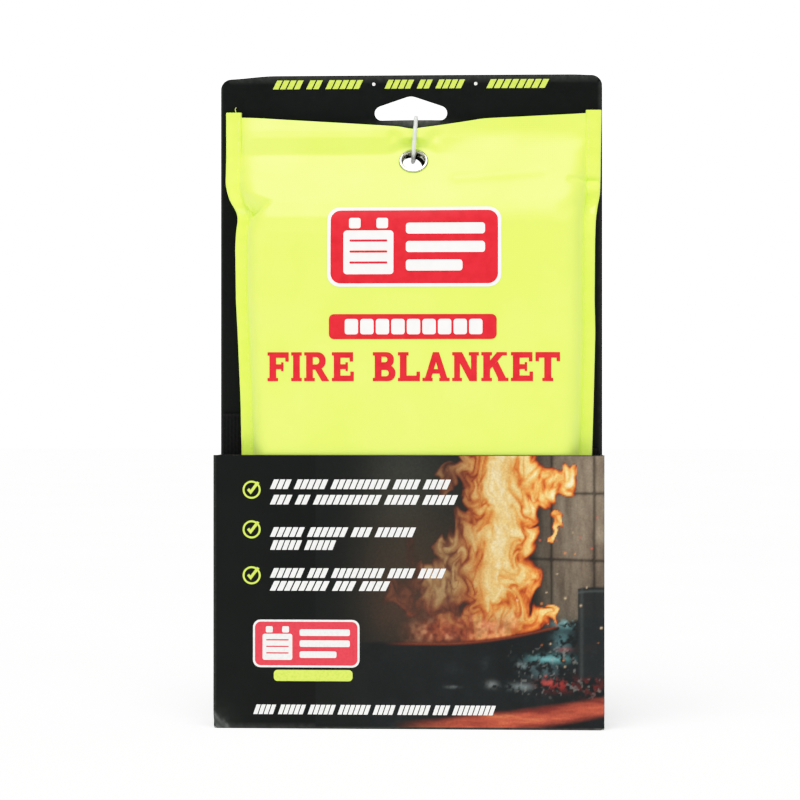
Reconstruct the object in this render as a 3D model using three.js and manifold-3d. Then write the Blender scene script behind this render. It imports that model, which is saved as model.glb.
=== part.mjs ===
// Fire blanket in its retail pack: a printed board folded into a hanging pocket, and a soft pouch
// that stands in the pocket and holds the folded blanket.
// Millimetres, +Z up, front towards -Y. The origin is under the middle of the pocket's floor.
import * as THREE from 'three';
import { mergeVertices } from 'three/addons/utils/BufferGeometryUtils.js';
import Module from 'manifold-3d';

const wasm = await Module();
wasm.setup();

// Driving sizes

const clearance = 0.3; // air between two pieces that touch
const softGap = 0.4; // air between the blanket and what lies round it

const board = {
  width: 168.4,
  height: 285,
  thickness: 0.6,
  cornerRadius: 4.5,
};

const pocket = {
  height: 118,
  backRoom: 1.3, // behind the pull tapes
  sideFlapWidth: 12,
  flapStep: 0.6, // how far the side flaps stop below the pocket's rim
};

const slot = {
  width: 32,
  height: 10.9,
  endRadius: 3.2,
  topDrop: 9.1, // board above the slot's peak
};

const loopHole = { radius: 5.2, drop: 21.7 }; // below the slot's flat edge, for the loop to pass

const pouch = {
  centreX: 1.6, // the pouch stands a little to the right in its pocket
  sheet: 0.8,
  topRise: 1.4, // above the slot's flat edge
  edgeMargin: 1.8, // the top flap is this much narrower than the board, each side
  bodyStep: 3.8, // the body is this much narrower than the flap, each side
  mouthStep: 2.4, // and the mouth than the body
  bindingWidth: 6.2,
  bindingThickness: 2.5,
  earHeight: 2.1, // the bindings stand this far above the sheets
  sideRound: 10, // width of the curve from the flat front to the side seam
  seamBack: 1, // the side seams lie this far behind the pouch's middle
  topDip: 5.6, // the top edge is drawn down over the eyelet
  topDipHalfWidth: 52,
  hemHeight: 10,
};

// The top flap leans back from the blanket's top edge to the board.
const lean = {
  startDrop: 48.4, // below the pouch's top
  endDrop: 4.4,
  boardGap: 4.2, // from the flap's face to the board
};

const blanket = {
  thickness: 19,
  edgeRadius: 9,
  topDrop: 11.3, // below the start of the lean
  sideReach: 4.4, // the stack reaches this far into the pouch's rounded sides
};

const eyelet = {
  drop: 20.4, // below the pouch's top
  holeRadius: 4.8,
  barrelWall: 0.35,
  flangeRadius: 6.5,
  flangeThickness: 0.8,
  seatBlend: 7, // cloth around the flange that lies flat
};

const tape = {
  width: 25,
  thickness: 1.1,
  plyGap: 0.4,
  innerEndY: -2,
  sewnInset: 1, // its sewn end lies this far inside the blanket's edge
  swingHeight: 95, // where it has swung out to its full reach
  left: { foldHeight: 135.8, reach: 20.4 }, // reach is past the blanket's edge, at the fold
  right: { foldHeight: 120.6, reach: 17.2 },
};

const tack = { length: 19, width: 7, thickness: 0.4, endMargin: 1.2 };

const strand = { radius: 0.9, sides: 8 };

const lock = { x: 2.3, width: 3.8, depth: 3.4, height: 5.4, drop: 7 }; // below the slot's flat edge

// Values that follow from them

const tapeStack = 2 * tape.thickness + tape.plyGap;
const pocketDepth = 3 * board.thickness + 3 * clearance + 2 * pouch.sheet + 2 * softGap
  + blanket.thickness + tapeStack + pocket.backRoom;
const innerFaceY = pocketDepth / 2 - board.thickness;
const sideInnerX = board.width / 2 - board.thickness;
const flapInnerY = -innerFaceY + clearance + board.thickness;
const slotFlatZ = board.height - slot.topDrop - slot.height;
const loopHoleZ = slotFlatZ - loopHole.drop;

const tackLowZ = board.thickness + softGap;
const tackHighZ = tackLowZ + tack.thickness;
const tapeLowPlyZ = tackHighZ + clearance;
const tapeTopPlyZ = tapeLowPlyZ + tapeStack;
const blanketBottomZ = tapeTopPlyZ + softGap;
const pouchBottomZ = blanketBottomZ + clearance;

const pouchTopZ = slotFlatZ + pouch.topRise;
const leanStartZ = pouchTopZ - lean.startDrop;
const leanEndZ = pouchTopZ - lean.endDrop;
const eyeletZ = pouchTopZ - eyelet.drop;
const blanketTopZ = leanStartZ - blanket.topDrop;

const flapHalfWidth = board.width / 2 - pouch.edgeMargin;
const bodyHalfWidth = flapHalfWidth - pouch.bodyStep;
const mouthHalfWidth = bodyHalfWidth - pouch.mouthStep;
const flatHalfWidth = mouthHalfWidth - pouch.bindingWidth - pouch.sideRound;
const blanketHalfWidth = flatHalfWidth + blanket.sideReach;

const pouchFrontY = flapInnerY + clearance;
const blanketFrontY = pouchFrontY + pouch.sheet + softGap;
const blanketBackY = blanketFrontY + blanket.thickness;
const pouchBackInnerY = blanketBackY + softGap;
const pouchBackY = pouchBackInnerY + pouch.sheet;
const seamY = (pouchFrontY + pouchBackY) / 2 + pouch.seamBack;
const flapFrontY = innerFaceY - lean.boardGap;

const tapeInnerY = pouchBackY + clearance;
const tapeOuterY = tapeInnerY + tapeStack;

// Materials

const looks = {
  printedBoard: { color: '#1c201d', roughness: 0.5, metalness: 0 },
  rawBoard: { color: '#8d8f8c', roughness: 0.9, metalness: 0 },
  pouchCloth: { color: '#eafa76', roughness: 0.75, metalness: 0 },
  binding: { color: '#e6f970', roughness: 0.75, metalness: 0 },
  glassCloth: { color: '#e9e8e0', roughness: 0.85, metalness: 0 },
  webbing: { color: '#15171a', roughness: 0.8, metalness: 0 },
  thread: { color: '#22242a', roughness: 0.7, metalness: 0 },
  plastic: { color: '#eef0f0', roughness: 0.3, metalness: 0 },
  steel: { color: '#c9ccce', roughness: 0.2, metalness: 1 },
};

const pack = new THREE.Group();

function addPiece(name, geometry, look) {
  const mesh = new THREE.Mesh(geometry, new THREE.MeshStandardMaterial(look));
  mesh.name = name;
  pack.add(mesh);
  return mesh;
}

// Solids

function toSolid(geometry) {
  const bare = geometry.clone();
  bare.deleteAttribute('normal');
  bare.deleteAttribute('uv');
  const merged = mergeVertices(bare, 1e-4);
  return new wasm.Manifold(new wasm.Mesh({
    numProp: 3,
    vertProperties: Float32Array.from(merged.attributes.position.array),
    triVerts: Uint32Array.from(merged.index.array),
  }));
}

function toGeometry(solid) {
  const mesh = solid.getMesh();
  const geometry = new THREE.BufferGeometry();
  geometry.setAttribute('position', new THREE.BufferAttribute(mesh.vertProperties, 3));
  geometry.setIndex(new THREE.BufferAttribute(mesh.triVerts, 1));
  geometry.computeVertexNormals();
  return geometry;
}

function box(lowX, highX, lowY, highY, lowZ, highZ) {
  const geometry = new THREE.BoxGeometry(highX - lowX, highY - lowY, highZ - lowZ);
  geometry.translate((lowX + highX) / 2, (lowY + highY) / 2, (lowZ + highZ) / 2);
  return geometry;
}

// A shape drawn in X and Z, standing between two Y planes.
function standingPlate(shape, lowY, highY, curveSegments = 8) {
  const geometry = new THREE.ExtrudeGeometry(shape, {
    depth: highY - lowY,
    bevelEnabled: false,
    curveSegments,
  });
  geometry.rotateX(Math.PI / 2);
  geometry.translate(0, highY, 0);
  return geometry;
}

// 0 before start, 1 after end, with an even slope at both
function ease(value, start, end) {
  return THREE.MathUtils.smoothstep(value, start, end);
}

// Board

function slotPath() {
  const endX = slot.width / 2 - slot.endRadius;
  const endZ = slotFlatZ + slot.endRadius;
  const peakZ = slotFlatZ + slot.height;
  const toPeak = Math.hypot(endX, peakZ - endZ);
  const slope = Math.atan2(peakZ - endZ, endX) - Math.asin(slot.endRadius / toPeak);
  const path = new THREE.Path();
  path.moveTo(-endX, slotFlatZ);
  path.lineTo(endX, slotFlatZ);
  path.absarc(endX, endZ, slot.endRadius, -Math.PI / 2, Math.PI / 2 - slope, false);
  path.lineTo(0, peakZ);
  path.absarc(-endX, endZ, slot.endRadius, Math.PI / 2 + slope, 3 * Math.PI / 2, false);
  return path;
}

function backPanel() {
  const halfWidth = board.width / 2;
  const cornerX = halfWidth - board.cornerRadius;
  const cornerZ = board.height - board.cornerRadius;
  const outline = new THREE.Shape();
  outline.moveTo(-halfWidth, 0);
  outline.lineTo(halfWidth, 0);
  outline.lineTo(halfWidth, cornerZ);
  outline.absarc(cornerX, cornerZ, board.cornerRadius, 0, Math.PI / 2, false);
  outline.lineTo(-cornerX, board.height);
  outline.absarc(-cornerX, cornerZ, board.cornerRadius, Math.PI / 2, Math.PI, false);
  const hole = new THREE.Path();
  hole.absarc(0, loopHoleZ, loopHole.radius, 0, 2 * Math.PI, true);
  outline.holes.push(slotPath(), hole);
  return standingPlate(outline, innerFaceY, pocketDepth / 2);
}

function addBoard() {
  const halfWidth = board.width / 2;
  const foldY = innerFaceY - clearance;
  const floorHalfWidth = sideInnerX - clearance;
  const flapEndX = floorHalfWidth - pocket.sideFlapWidth;
  const flapLowZ = board.thickness + clearance;
  const flapHighZ = pocket.height - pocket.flapStep;
  const flapOuterY = flapInnerY - board.thickness;
  addPiece('back_panel', backPanel(), looks.printedBoard);
  addPiece(
    'front_panel',
    box(-halfWidth, halfWidth, -pocketDepth / 2, -innerFaceY, 0, pocket.height),
    looks.printedBoard,
  );
  addPiece(
    'pocket_floor',
    box(-floorHalfWidth, floorHalfWidth, -foldY, foldY, 0, board.thickness),
    looks.printedBoard,
  );
  for (const [name, side] of [['left', -1], ['right', 1]]) {
    const wall = [side * halfWidth, side * sideInnerX].sort((a, b) => a - b);
    const flap = [side * floorHalfWidth, side * flapEndX].sort((a, b) => a - b);
    addPiece(
      `${name}_pocket_side`,
      box(wall[0], wall[1], -foldY, foldY, 0, pocket.height),
      looks.printedBoard,
    );
    addPiece(
      `${name}_glue_flap`,
      box(flap[0], flap[1], flapOuterY, flapInnerY, flapLowZ, flapHighZ),
      looks.rawBoard,
    );
  }
}

// Pouch surface

function pouchHalfWidth(z) {
  const taper = pouch.mouthStep * (1 - ease(z, pocket.height - 28, leanStartZ - 28));
  const flare = pouch.bodyStep * ease(z, leanStartZ, leanStartZ + 16);
  return bodyHalfWidth - taper + flare;
}

function seamX(z) {
  return pouchHalfWidth(z) - pouch.bindingWidth;
}

// How far along the lean from the blanket's front to the flap a height is
function leanShare(z) {
  return ease(z, leanStartZ, leanEndZ);
}

function middleFrontY(z) {
  return THREE.MathUtils.lerp(pouchFrontY, flapFrontY, leanShare(z));
}

const eyeletSlope = middleFrontY(eyeletZ + 0.5) - middleFrontY(eyeletZ - 0.5);
const eyeletFrontY = middleFrontY(eyeletZ);

// The front sheet's outer face. Around the eyelet it is drawn flat.
function frontFaceY(x, z) {
  const sideGap = seamX(z) - Math.abs(x - pouch.centreX);
  const towardsSeam = 1 - ease(sideGap, 0, pouch.sideRound);
  const atSeam = THREE.MathUtils.lerp(seamY, flapFrontY, ease(z, leanStartZ - 8, leanEndZ - 6));
  const free = THREE.MathUtils.lerp(middleFrontY(z), atSeam, towardsSeam);
  const seat = eyeletFrontY + (z - eyeletZ) * eyeletSlope;
  const fromEyelet = Math.hypot(x - pouch.centreX, (z - eyeletZ) * Math.hypot(1, eyeletSlope));
  const flatEdge = eyelet.flangeRadius + 1;
  return THREE.MathUtils.lerp(seat, free, ease(fromEyelet, flatEdge, flatEdge + eyelet.seatBlend));
}

// The back sheet's inner face. It meets the front sheet above the blanket.
function backFaceY(x, z) {
  const sideGap = seamX(z) - Math.abs(x - pouch.centreX);
  const towardsSeam = 1 - ease(sideGap, 0, pouch.sideRound - 2);
  const open = 1 - ease(z, leanStartZ - 10, eyeletZ - eyelet.flangeRadius);
  const meeting = frontFaceY(x, z) + pouch.sheet + clearance;
  const apart = THREE.MathUtils.lerp(pouchBackInnerY, meeting, towardsSeam);
  return THREE.MathUtils.lerp(meeting, Math.max(apart, meeting), open);
}

function topDipAt(x) {
  const share = Math.max(0, 1 - Math.abs(x - pouch.centreX) / pouch.topDipHalfWidth);
  return pouch.topDip * share;
}

// Grid lines of the sheets: closer together at the seams, round the eyelet and up the lean

const seamInsets = [0, 0.2, 0.4, 0.6, 0.8, 1].map((share) => share * pouch.sideRound);
const nearEyelet = [5, 9, 13, 20];
const rightLines = [...nearEyelet, flatHalfWidth * 0.52, flatHalfWidth * 0.77];
const middleLines = [...rightLines.map((x) => -x).reverse(), 0, ...rightLines];
const flapRows = 14;

function columnX(column, z) {
  const last = seamInsets.length + middleLines.length;
  const edge = seamX(z) - clearance;
  if (column < seamInsets.length) {
    return pouch.centreX - edge + seamInsets[column];
  }
  if (column < last) {
    return pouch.centreX + middleLines[column - seamInsets.length];
  }
  return pouch.centreX + edge - seamInsets[seamInsets.length - 1 - (column - last)];
}

// Heights from lowZ to highZ: a few up the straight body, then closer ones up the lean
function rowHeights(lowZ, highZ) {
  const bodyTop = leanStartZ - 12;
  const bodyRows = 7;
  const rows = [];
  for (let step = 0; step < bodyRows; step += 1) {
    rows.push(lowZ + (bodyTop - lowZ) * step / bodyRows);
  }
  for (let step = 0; step <= flapRows; step += 1) {
    rows.push(bodyTop + (highZ - bodyTop) * step / flapRows);
  }
  return rows;
}

// A closed solid between two skins that share one grid. The near skin faces -Y.
function gridSolid(columns, rows, nearPoint, farPoint) {
  const positions = [];
  const index = [];
  const at = (skin, i, j) => skin * columns * rows + j * columns + i;
  for (const point of [nearPoint, farPoint]) {
    for (let j = 0; j < rows; j += 1) {
      for (let i = 0; i < columns; i += 1) {
        positions.push(...point(i, j));
      }
    }
  }
  const quad = (a, b, c, d) => index.push(a, b, c, a, c, d);
  for (let j = 0; j < rows - 1; j += 1) {
    for (let i = 0; i < columns - 1; i += 1) {
      quad(at(0, i, j), at(0, i + 1, j), at(0, i + 1, j + 1), at(0, i, j + 1));
      quad(at(1, i, j), at(1, i, j + 1), at(1, i + 1, j + 1), at(1, i + 1, j));
    }
  }
  for (let i = 0; i < columns - 1; i += 1) {
    quad(at(0, i, 0), at(1, i, 0), at(1, i + 1, 0), at(0, i + 1, 0));
    quad(at(0, i, rows - 1), at(0, i + 1, rows - 1), at(1, i + 1, rows - 1), at(1, i, rows - 1));
  }
  for (let j = 0; j < rows - 1; j += 1) {
    quad(at(0, 0, j), at(0, 0, j + 1), at(1, 0, j + 1), at(1, 0, j));
    quad(at(0, columns - 1, j), at(1, columns - 1, j), at(1, columns - 1, j + 1), at(0, columns - 1, j + 1));
  }
  const geometry = new THREE.BufferGeometry();
  geometry.setAttribute('position', new THREE.Float32BufferAttribute(positions, 3));
  geometry.setIndex(index);
  geometry.computeVertexNormals();
  return geometry;
}

// A sheet over the given heights, its near face at faceY and its top rows drawn down at the middle
function sheetGeometry(faceY, thickness, rows) {
  const columns = 2 * seamInsets.length + middleLines.length;
  const place = (i, j) => {
    const rowZ = rows[j];
    const x = columnX(i, rowZ);
    const drawnDown = ease(rowZ, eyeletZ + eyelet.flangeRadius, pouchTopZ);
    return [x, rowZ - topDipAt(x) * drawnDown];
  };
  const near = (i, j) => {
    const [x, z] = place(i, j);
    return [x, faceY(x, z), z];
  };
  const far = (i, j) => {
    const [x, z] = place(i, j);
    return [x, faceY(x, z) + thickness, z];
  };
  return gridSolid(columns, rows.length, near, far);
}

// Turns a piece made about +Z so that it points out of the eyelet's seat.
function toEyelet(geometry) {
  geometry.rotateX(Math.PI / 2 - Math.atan(eyeletSlope));
  geometry.translate(pouch.centreX, eyeletFrontY, eyeletZ);
  return geometry;
}

function withEyeletHole(sheet) {
  const radius = eyelet.holeRadius + eyelet.barrelWall + clearance;
  const drill = new THREE.CylinderGeometry(radius, radius, 12, 24);
  drill.rotateX(Math.PI / 2);
  return toGeometry(toSolid(sheet).subtract(toSolid(toEyelet(drill))));
}

function addPouch() {
  const hemTopZ = pouchBottomZ + pouch.hemHeight;
  const rows = rowHeights(hemTopZ + clearance, pouchTopZ);
  const hemRows = [pouchBottomZ, hemTopZ];
  const front = sheetGeometry(frontFaceY, pouch.sheet, rows);
  const back = sheetGeometry(backFaceY, pouch.sheet, rows);
  addPiece('pouch_front', withEyeletHole(front), looks.pouchCloth);
  addPiece('pouch_back', withEyeletHole(back), looks.pouchCloth);
  addPiece('front_mouth_hem', sheetGeometry(frontFaceY, pouch.sheet, hemRows), looks.pouchCloth);
  addPiece('back_mouth_hem', sheetGeometry(backFaceY, pouch.sheet, hemRows), looks.pouchCloth);
}

function bindingGeometry(side) {
  const heights = rowHeights(pouchBottomZ, pouchTopZ + pouch.earHeight);
  const middleY = (z) => frontFaceY(pouch.centreX + seamX(z), z) + pouch.sheet + clearance / 2;
  const place = (i, j, shift) => {
    const z = heights[j];
    const across = side < 0 ? 1 - i : i;
    const x = pouch.centreX + side * (seamX(z) + across * pouch.bindingWidth);
    return [x, middleY(z) + shift * pouch.bindingThickness / 2, z];
  };
  return gridSolid(2, heights.length, (i, j) => place(i, j, -1), (i, j) => place(i, j, 1));
}

// Eyelet: a flange in front of the sheets, a barrel through them, and a washer behind

function lathe(points) {
  const profile = points.map(([radius, height]) => new THREE.Vector2(radius, height));
  profile.push(profile[0].clone());
  const geometry = new THREE.LatheGeometry(profile, 28);
  geometry.rotateX(Math.PI / 2);
  return geometry;
}

function addEyelet() {
  const stack = 2 * pouch.sheet + clearance; // both sheets
  const backHeight = -stack * Math.cos(Math.atan(eyeletSlope));
  const bore = eyelet.holeRadius;
  const barrel = bore + eyelet.barrelWall;
  const flangeLow = clearance;
  const flangeHigh = flangeLow + eyelet.flangeThickness;
  const washerHigh = backHeight - clearance;
  const washerLow = washerHigh - eyelet.flangeThickness;
  const flange = lathe([
    [bore, washerLow],
    [barrel, washerLow],
    [barrel, flangeLow],
    [eyelet.flangeRadius, flangeLow],
    [eyelet.flangeRadius - 0.3, flangeHigh - 0.2],
    [barrel + 0.3, flangeHigh],
    [bore, flangeHigh - 0.25],
  ]);
  const washer = lathe([
    [barrel + clearance, washerLow],
    [eyelet.flangeRadius, washerLow],
    [eyelet.flangeRadius, washerHigh],
    [barrel + clearance, washerHigh],
  ]);
  addPiece('eyelet', toEyelet(flange), looks.steel);
  addPiece('eyelet_washer', toEyelet(washer), looks.steel);
}

// Blanket: the folded stack with rounded folds

function blanketGeometry() {
  const halfDepth = blanket.thickness / 2;
  const radius = Math.min(blanket.edgeRadius, halfDepth - 0.5);
  const cornerX = blanketHalfWidth - radius;
  const cornerY = halfDepth - radius;
  const outline = new THREE.Shape();
  outline.absarc(cornerX, cornerY, radius, 0, Math.PI / 2, false);
  outline.absarc(-cornerX, cornerY, radius, Math.PI / 2, Math.PI, false);
  outline.absarc(-cornerX, -cornerY, radius, Math.PI, 1.5 * Math.PI, false);
  outline.absarc(cornerX, -cornerY, radius, 1.5 * Math.PI, 2 * Math.PI, false);
  const geometry = new THREE.ExtrudeGeometry(outline, {
    depth: blanketTopZ - blanketBottomZ,
    bevelEnabled: false,
    curveSegments: 6,
  });
  geometry.translate(pouch.centreX, (blanketFrontY + blanketBackY) / 2, blanketBottomZ);
  return geometry;
}

// Pull tapes: webbing doubled into a loop, led from under the blanket up behind the pouch

// The loop's section in Y and Z. Its long runs have a vertex at each swing step.
function tapeSection(foldHeight) {
  const outerBend = tapeStack / 2;
  const innerBend = outerBend - tape.thickness;
  const bendY = tapeInnerY + outerBend;
  const bendZ = foldHeight - outerBend;
  const swingSteps = 8;
  const heights = Array.from(
    { length: swingSteps },
    (_, step) => tapeTopPlyZ + (tape.swingHeight - tapeTopPlyZ) * (step + 1) / swingSteps,
  );
  const section = new THREE.Shape();
  const climb = (y) => heights.forEach((z) => section.lineTo(y, z));
  const descend = (y) => [...heights].reverse().forEach((z) => section.lineTo(y, z));
  section.moveTo(tape.innerEndY, tapeLowPlyZ);
  section.lineTo(tapeOuterY, tapeLowPlyZ);
  climb(tapeOuterY);
  section.absarc(bendY, bendZ, outerBend, 0, Math.PI, false);
  descend(tapeInnerY);
  section.lineTo(tapeInnerY, tapeTopPlyZ);
  section.lineTo(tape.innerEndY, tapeTopPlyZ);
  section.lineTo(tape.innerEndY, tapeTopPlyZ - tape.thickness);
  section.lineTo(tapeInnerY + tape.thickness, tapeTopPlyZ - tape.thickness);
  climb(tapeInnerY + tape.thickness);
  section.absarc(bendY, bendZ, innerBend, Math.PI, 0, true);
  descend(tapeOuterY - tape.thickness);
  section.lineTo(tapeOuterY - tape.thickness, tapeLowPlyZ + tape.thickness);
  section.lineTo(tape.innerEndY, tapeLowPlyZ + tape.thickness);
  return section;
}

// side is -1 on the left. The tape swings outwards as it rises.
function tapeGeometry(side, sewnMiddleX, { foldHeight, reach }) {
  const geometry = new THREE.ExtrudeGeometry(tapeSection(foldHeight), {
    depth: tape.width,
    bevelEnabled: false,
    curveSegments: 6,
  });
  // the section's X and Y become the pack's Y and Z
  geometry.applyMatrix4(new THREE.Matrix4().makeBasis(
    new THREE.Vector3(0, 1, 0),
    new THREE.Vector3(0, 0, 1),
    new THREE.Vector3(1, 0, 0),
  ));
  geometry.translate(sewnMiddleX - tape.width / 2, 0, 0);
  const position = geometry.attributes.position;
  for (let i = 0; i < position.count; i += 1) {
    const swing = ease(position.getZ(i), tapeTopPlyZ, tape.swingHeight);
    position.setX(i, position.getX(i) + side * (reach + tape.sewnInset) * swing);
  }
  return geometry;
}

function addBlanket() {
  addPiece('folded_blanket', blanketGeometry(), looks.glassCloth);
  const halfTack = tack.length / 2;
  const tackLowY = tape.innerEndY + tack.endMargin;
  const tackHighY = tackLowY + tack.width;
  for (const [name, side] of [['left', -1], ['right', 1]]) {
    const fromEdge = tape.sewnInset + tape.width / 2;
    const middleX = pouch.centreX + side * (blanketHalfWidth - fromEdge);
    addPiece(`${name}_pull_tape`, tapeGeometry(side, middleX, tape[name]), looks.webbing);
    addPiece(
      `${name}_tape_tack`,
      box(middleX - halfTack, middleX + halfTack, tackLowY, tackHighY, tackLowZ, tackHighZ),
      looks.thread,
    );
  }
}

// Plastic loop: over the board's lip, down the flap, through the eyelet and the board, up to its lock

const strandPoints = [
  [2.3, 15.6, 258.4],
  [2.3, 15.5, 262.6],
  [2.3, 15.0, 265.4],
  [2.3, 13.7, 266.5],
  [2.3, 12.2, 265.5],
  [2.3, 10.6, 263.2],
  [2.2, 8.6, 261.4],
  [2.1, 6.9, 258.4],
  [1.9, 5.0, 254.8],
  [1.7, 2.9, 251.4],
  [1.6, 3.0, 248.6],
  [1.4, 5.6, 246.7],
  [1.0, 9.6, 245.8],
  [0.8, 13.2, 245.6],
  [1.0, 15.4, 246.8],
  [1.7, 15.6, 249.4],
  [2.2, 15.6, 252.2],
];

function strandGeometry() {
  const route = new THREE.CatmullRomCurve3(
    strandPoints.map((point) => new THREE.Vector3(...point)),
    false,
    'centripetal',
  );
  const section = new THREE.Shape();
  section.absarc(0, 0, strand.radius, 0, 2 * Math.PI, false);
  return new THREE.ExtrudeGeometry(section, {
    steps: 44,
    extrudePath: route,
    curveSegments: strand.sides / 2,
  });
}

function addLoop() {
  const halfWidth = lock.width / 2;
  const lowY = pocketDepth / 2 + clearance;
  const highZ = slotFlatZ - lock.drop;
  addPiece('loop_strand', strandGeometry(), looks.plastic);
  addPiece(
    'loop_lock',
    box(lock.x - halfWidth, lock.x + halfWidth, lowY, lowY + lock.depth, highZ - lock.height, highZ),
    looks.plastic,
  );
}

addBoard();
addBlanket();
addPouch();
addPiece('left_binding', bindingGeometry(-1), looks.binding);
addPiece('right_binding', bindingGeometry(1), looks.binding);
addEyelet();
addLoop();

export default pack;
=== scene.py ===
import math

import bmesh
import bpy
import numpy as np
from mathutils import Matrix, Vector
from mathutils.geometry import delaunay_2d_cdt


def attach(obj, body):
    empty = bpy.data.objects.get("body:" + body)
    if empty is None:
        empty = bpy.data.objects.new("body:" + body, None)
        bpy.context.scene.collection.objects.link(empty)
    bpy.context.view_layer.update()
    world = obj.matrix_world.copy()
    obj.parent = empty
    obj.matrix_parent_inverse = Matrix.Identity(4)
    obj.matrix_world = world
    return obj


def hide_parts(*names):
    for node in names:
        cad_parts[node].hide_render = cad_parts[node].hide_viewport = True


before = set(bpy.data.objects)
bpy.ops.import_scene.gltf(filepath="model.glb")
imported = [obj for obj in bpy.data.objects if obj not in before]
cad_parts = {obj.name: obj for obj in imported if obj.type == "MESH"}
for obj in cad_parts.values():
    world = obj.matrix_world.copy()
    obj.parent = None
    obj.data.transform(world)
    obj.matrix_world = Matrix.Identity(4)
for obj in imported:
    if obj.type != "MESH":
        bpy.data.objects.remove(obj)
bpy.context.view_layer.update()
print("frame loaded, nodes:", len(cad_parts))

# The camera, the lamps and the studio round the pack
cameraSpot = {
    "across": 0.0455,
    "back": -1.0566,
    "height": 0.1417,
    "turn": 2.693,  # degrees to the left
    "lens": 109.2,
    "filmWidth": 36,
}

studio = {
    "skyPower": 2.72,  # wide overhead light, a little in front
    "skyHeight": 62,
    "skyTurn": -8,
    "skySpread": 50,
    "sidePower": 1.6,  # one soft box each side, level with the pack
    "sidePlace": (1.25, -0.85, 0.45),
    "sideSize": (0.7, 1.2),
    "sideAim": (0, 0, 0.14),
    "roomLight": 0.30,
    "floorColour": "#FBFBFA",
    "floorGlow": 0.34,  # the paper is lit from behind as well
    "floorHalf": 6000,
    "whitePoint": 1.45,  # the film's shoulder reaches white here
    "shoulder": [(0.345, 0.5), (0.552, 0.765), (0.655, 0.862), (0.759, 0.93), (0.897, 0.985)],
}


def putInScene(name, data, place=(0, 0, 0), turn=(0, 0, 0)):
    thing = bpy.data.objects.new(name, data)
    thing.location, thing.rotation_euler = place, turn
    bpy.context.scene.collection.objects.link(thing)
    return thing


def placeCamera():
    lens = bpy.data.cameras.new("camera")
    lens.lens, lens.sensor_width, lens.clip_end = cameraSpot["lens"], cameraSpot["filmWidth"], 30
    place = (cameraSpot["across"], cameraSpot["back"], cameraSpot["height"])
    level = (math.radians(90), 0, math.radians(cameraSpot["turn"]))
    bpy.context.scene.camera = putInScene("camera", lens, place, level)


def placeLamps():
    sky = bpy.data.lights.new("overhead", "SUN")
    sky.energy, sky.angle = studio["skyPower"], math.radians(studio["skySpread"])
    tilt = math.radians(90 - studio["skyHeight"])
    putInScene("overhead", sky, turn=(tilt, 0, math.radians(studio["skyTurn"])))
    for side, name in ((-1, "leftBox"), (1, "rightBox")):
        lamp = bpy.data.lights.new(name, "AREA")
        lamp.shape, lamp.energy = "RECTANGLE", studio["sidePower"]
        lamp.size, lamp.size_y = studio["sideSize"]
        across, back, height = studio["sidePlace"]
        place = Vector((side * across, back, height))
        aim = (Vector(studio["sideAim"]) - place).to_track_quat("-Z", "Y").to_euler()
        putInScene(name, lamp, place, aim)


placeCamera()
placeLamps()
print("camera and lights placed")


def toLinear(hexColour):
    channels = [int(hexColour[i : i + 2], 16) / 255 for i in (1, 3, 5)]
    return [c / 12.92 if c <= 0.04045 else ((c + 0.055) / 1.055) ** 2.4 for c in channels] + [1.0]


# values: socket name or number -> plain value, or another node's output to link
def addNode(tree, kind, values=None, **settings):
    made = tree.nodes.new(kind)
    for key, value in settings.items():
        setattr(made, key, value)
    for socket, value in (values or {}).items():
        if isinstance(value, bpy.types.NodeSocket):
            tree.links.new(value, made.inputs[socket])
        else:
            made.inputs[socket].default_value = value
    return made


def ease(value, start, end):
    share = np.clip((value - start) / (end - start), 0, 1)
    return share * share * (3 - 2 * share)


def lerp(a, b, share):
    return a + (b - a) * share


# Reads a short table of (where, level) pairs, rounding its corners over softness
def alongTable(values, table, softness):
    at, level = np.array(table, dtype=float).T
    fine = np.arange(at[0] - 2 * softness, at[-1] + 2 * softness, 0.25)
    reach = max(1, int(softness / 0.25))
    weight = np.hanning(2 * reach + 3)[1:-1]
    rounded = np.convolve(
        np.pad(np.interp(fine, at, level), reach, mode="edge"), weight / weight.sum(), "valid"
    )
    return np.interp(values, fine, rounded)


# Smooth noise from -1 to 1 with lumps about this size
def lumps(x, z, size, seed):
    table = np.random.default_rng(seed).uniform(-1, 1, (64, 64))
    u, v = x / size + 20.37, z / size + 11.71
    i, j = np.floor(u).astype(int), np.floor(v).astype(int)
    s, t = ease(u - i, 0, 1), ease(v - j, 0, 1)
    corner = lambda a, b: table[(i + a) % 64, (j + b) % 64]
    return lerp(lerp(corner(0, 0), corner(1, 0), s), lerp(corner(0, 1), corner(1, 1), s), t)


def layeredLumps(x, z, size, seed, layers=4):
    total = sum(lumps(x, z, size / 2**k, seed + k) / 1.7**k for k in range(layers))
    return total / sum(1 / 1.7**k for k in range(layers))


# A mesh object from points in millimetres; its place stays in the mesh
def newPiece(name, points, faces, material):
    mesh = bpy.data.meshes.new(name)
    mesh.from_pydata(
        (np.asarray(points, dtype=float) * 0.001).tolist(), [], [tuple(map(int, f)) for f in faces]
    )
    mesh.validate()
    for part in material if isinstance(material, (list, tuple)) else [material]:
        mesh.materials.append(part)
    mesh.polygons.foreach_set("use_smooth", [True] * len(mesh.polygons))
    mesh.update()
    return putInScene(name, mesh)


# Quads of a grid whose points are stored row by row; turned swaps the side they face
def gridFaces(columns, rows, turned=False):
    i, j = np.meshgrid(np.arange(columns - 1), np.arange(rows - 1))
    low = (j * columns + i).ravel()
    faces = np.stack([low, low + 1, low + columns + 1, low + columns], axis=1)
    return faces[:, ::-1] if turned else faces


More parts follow.
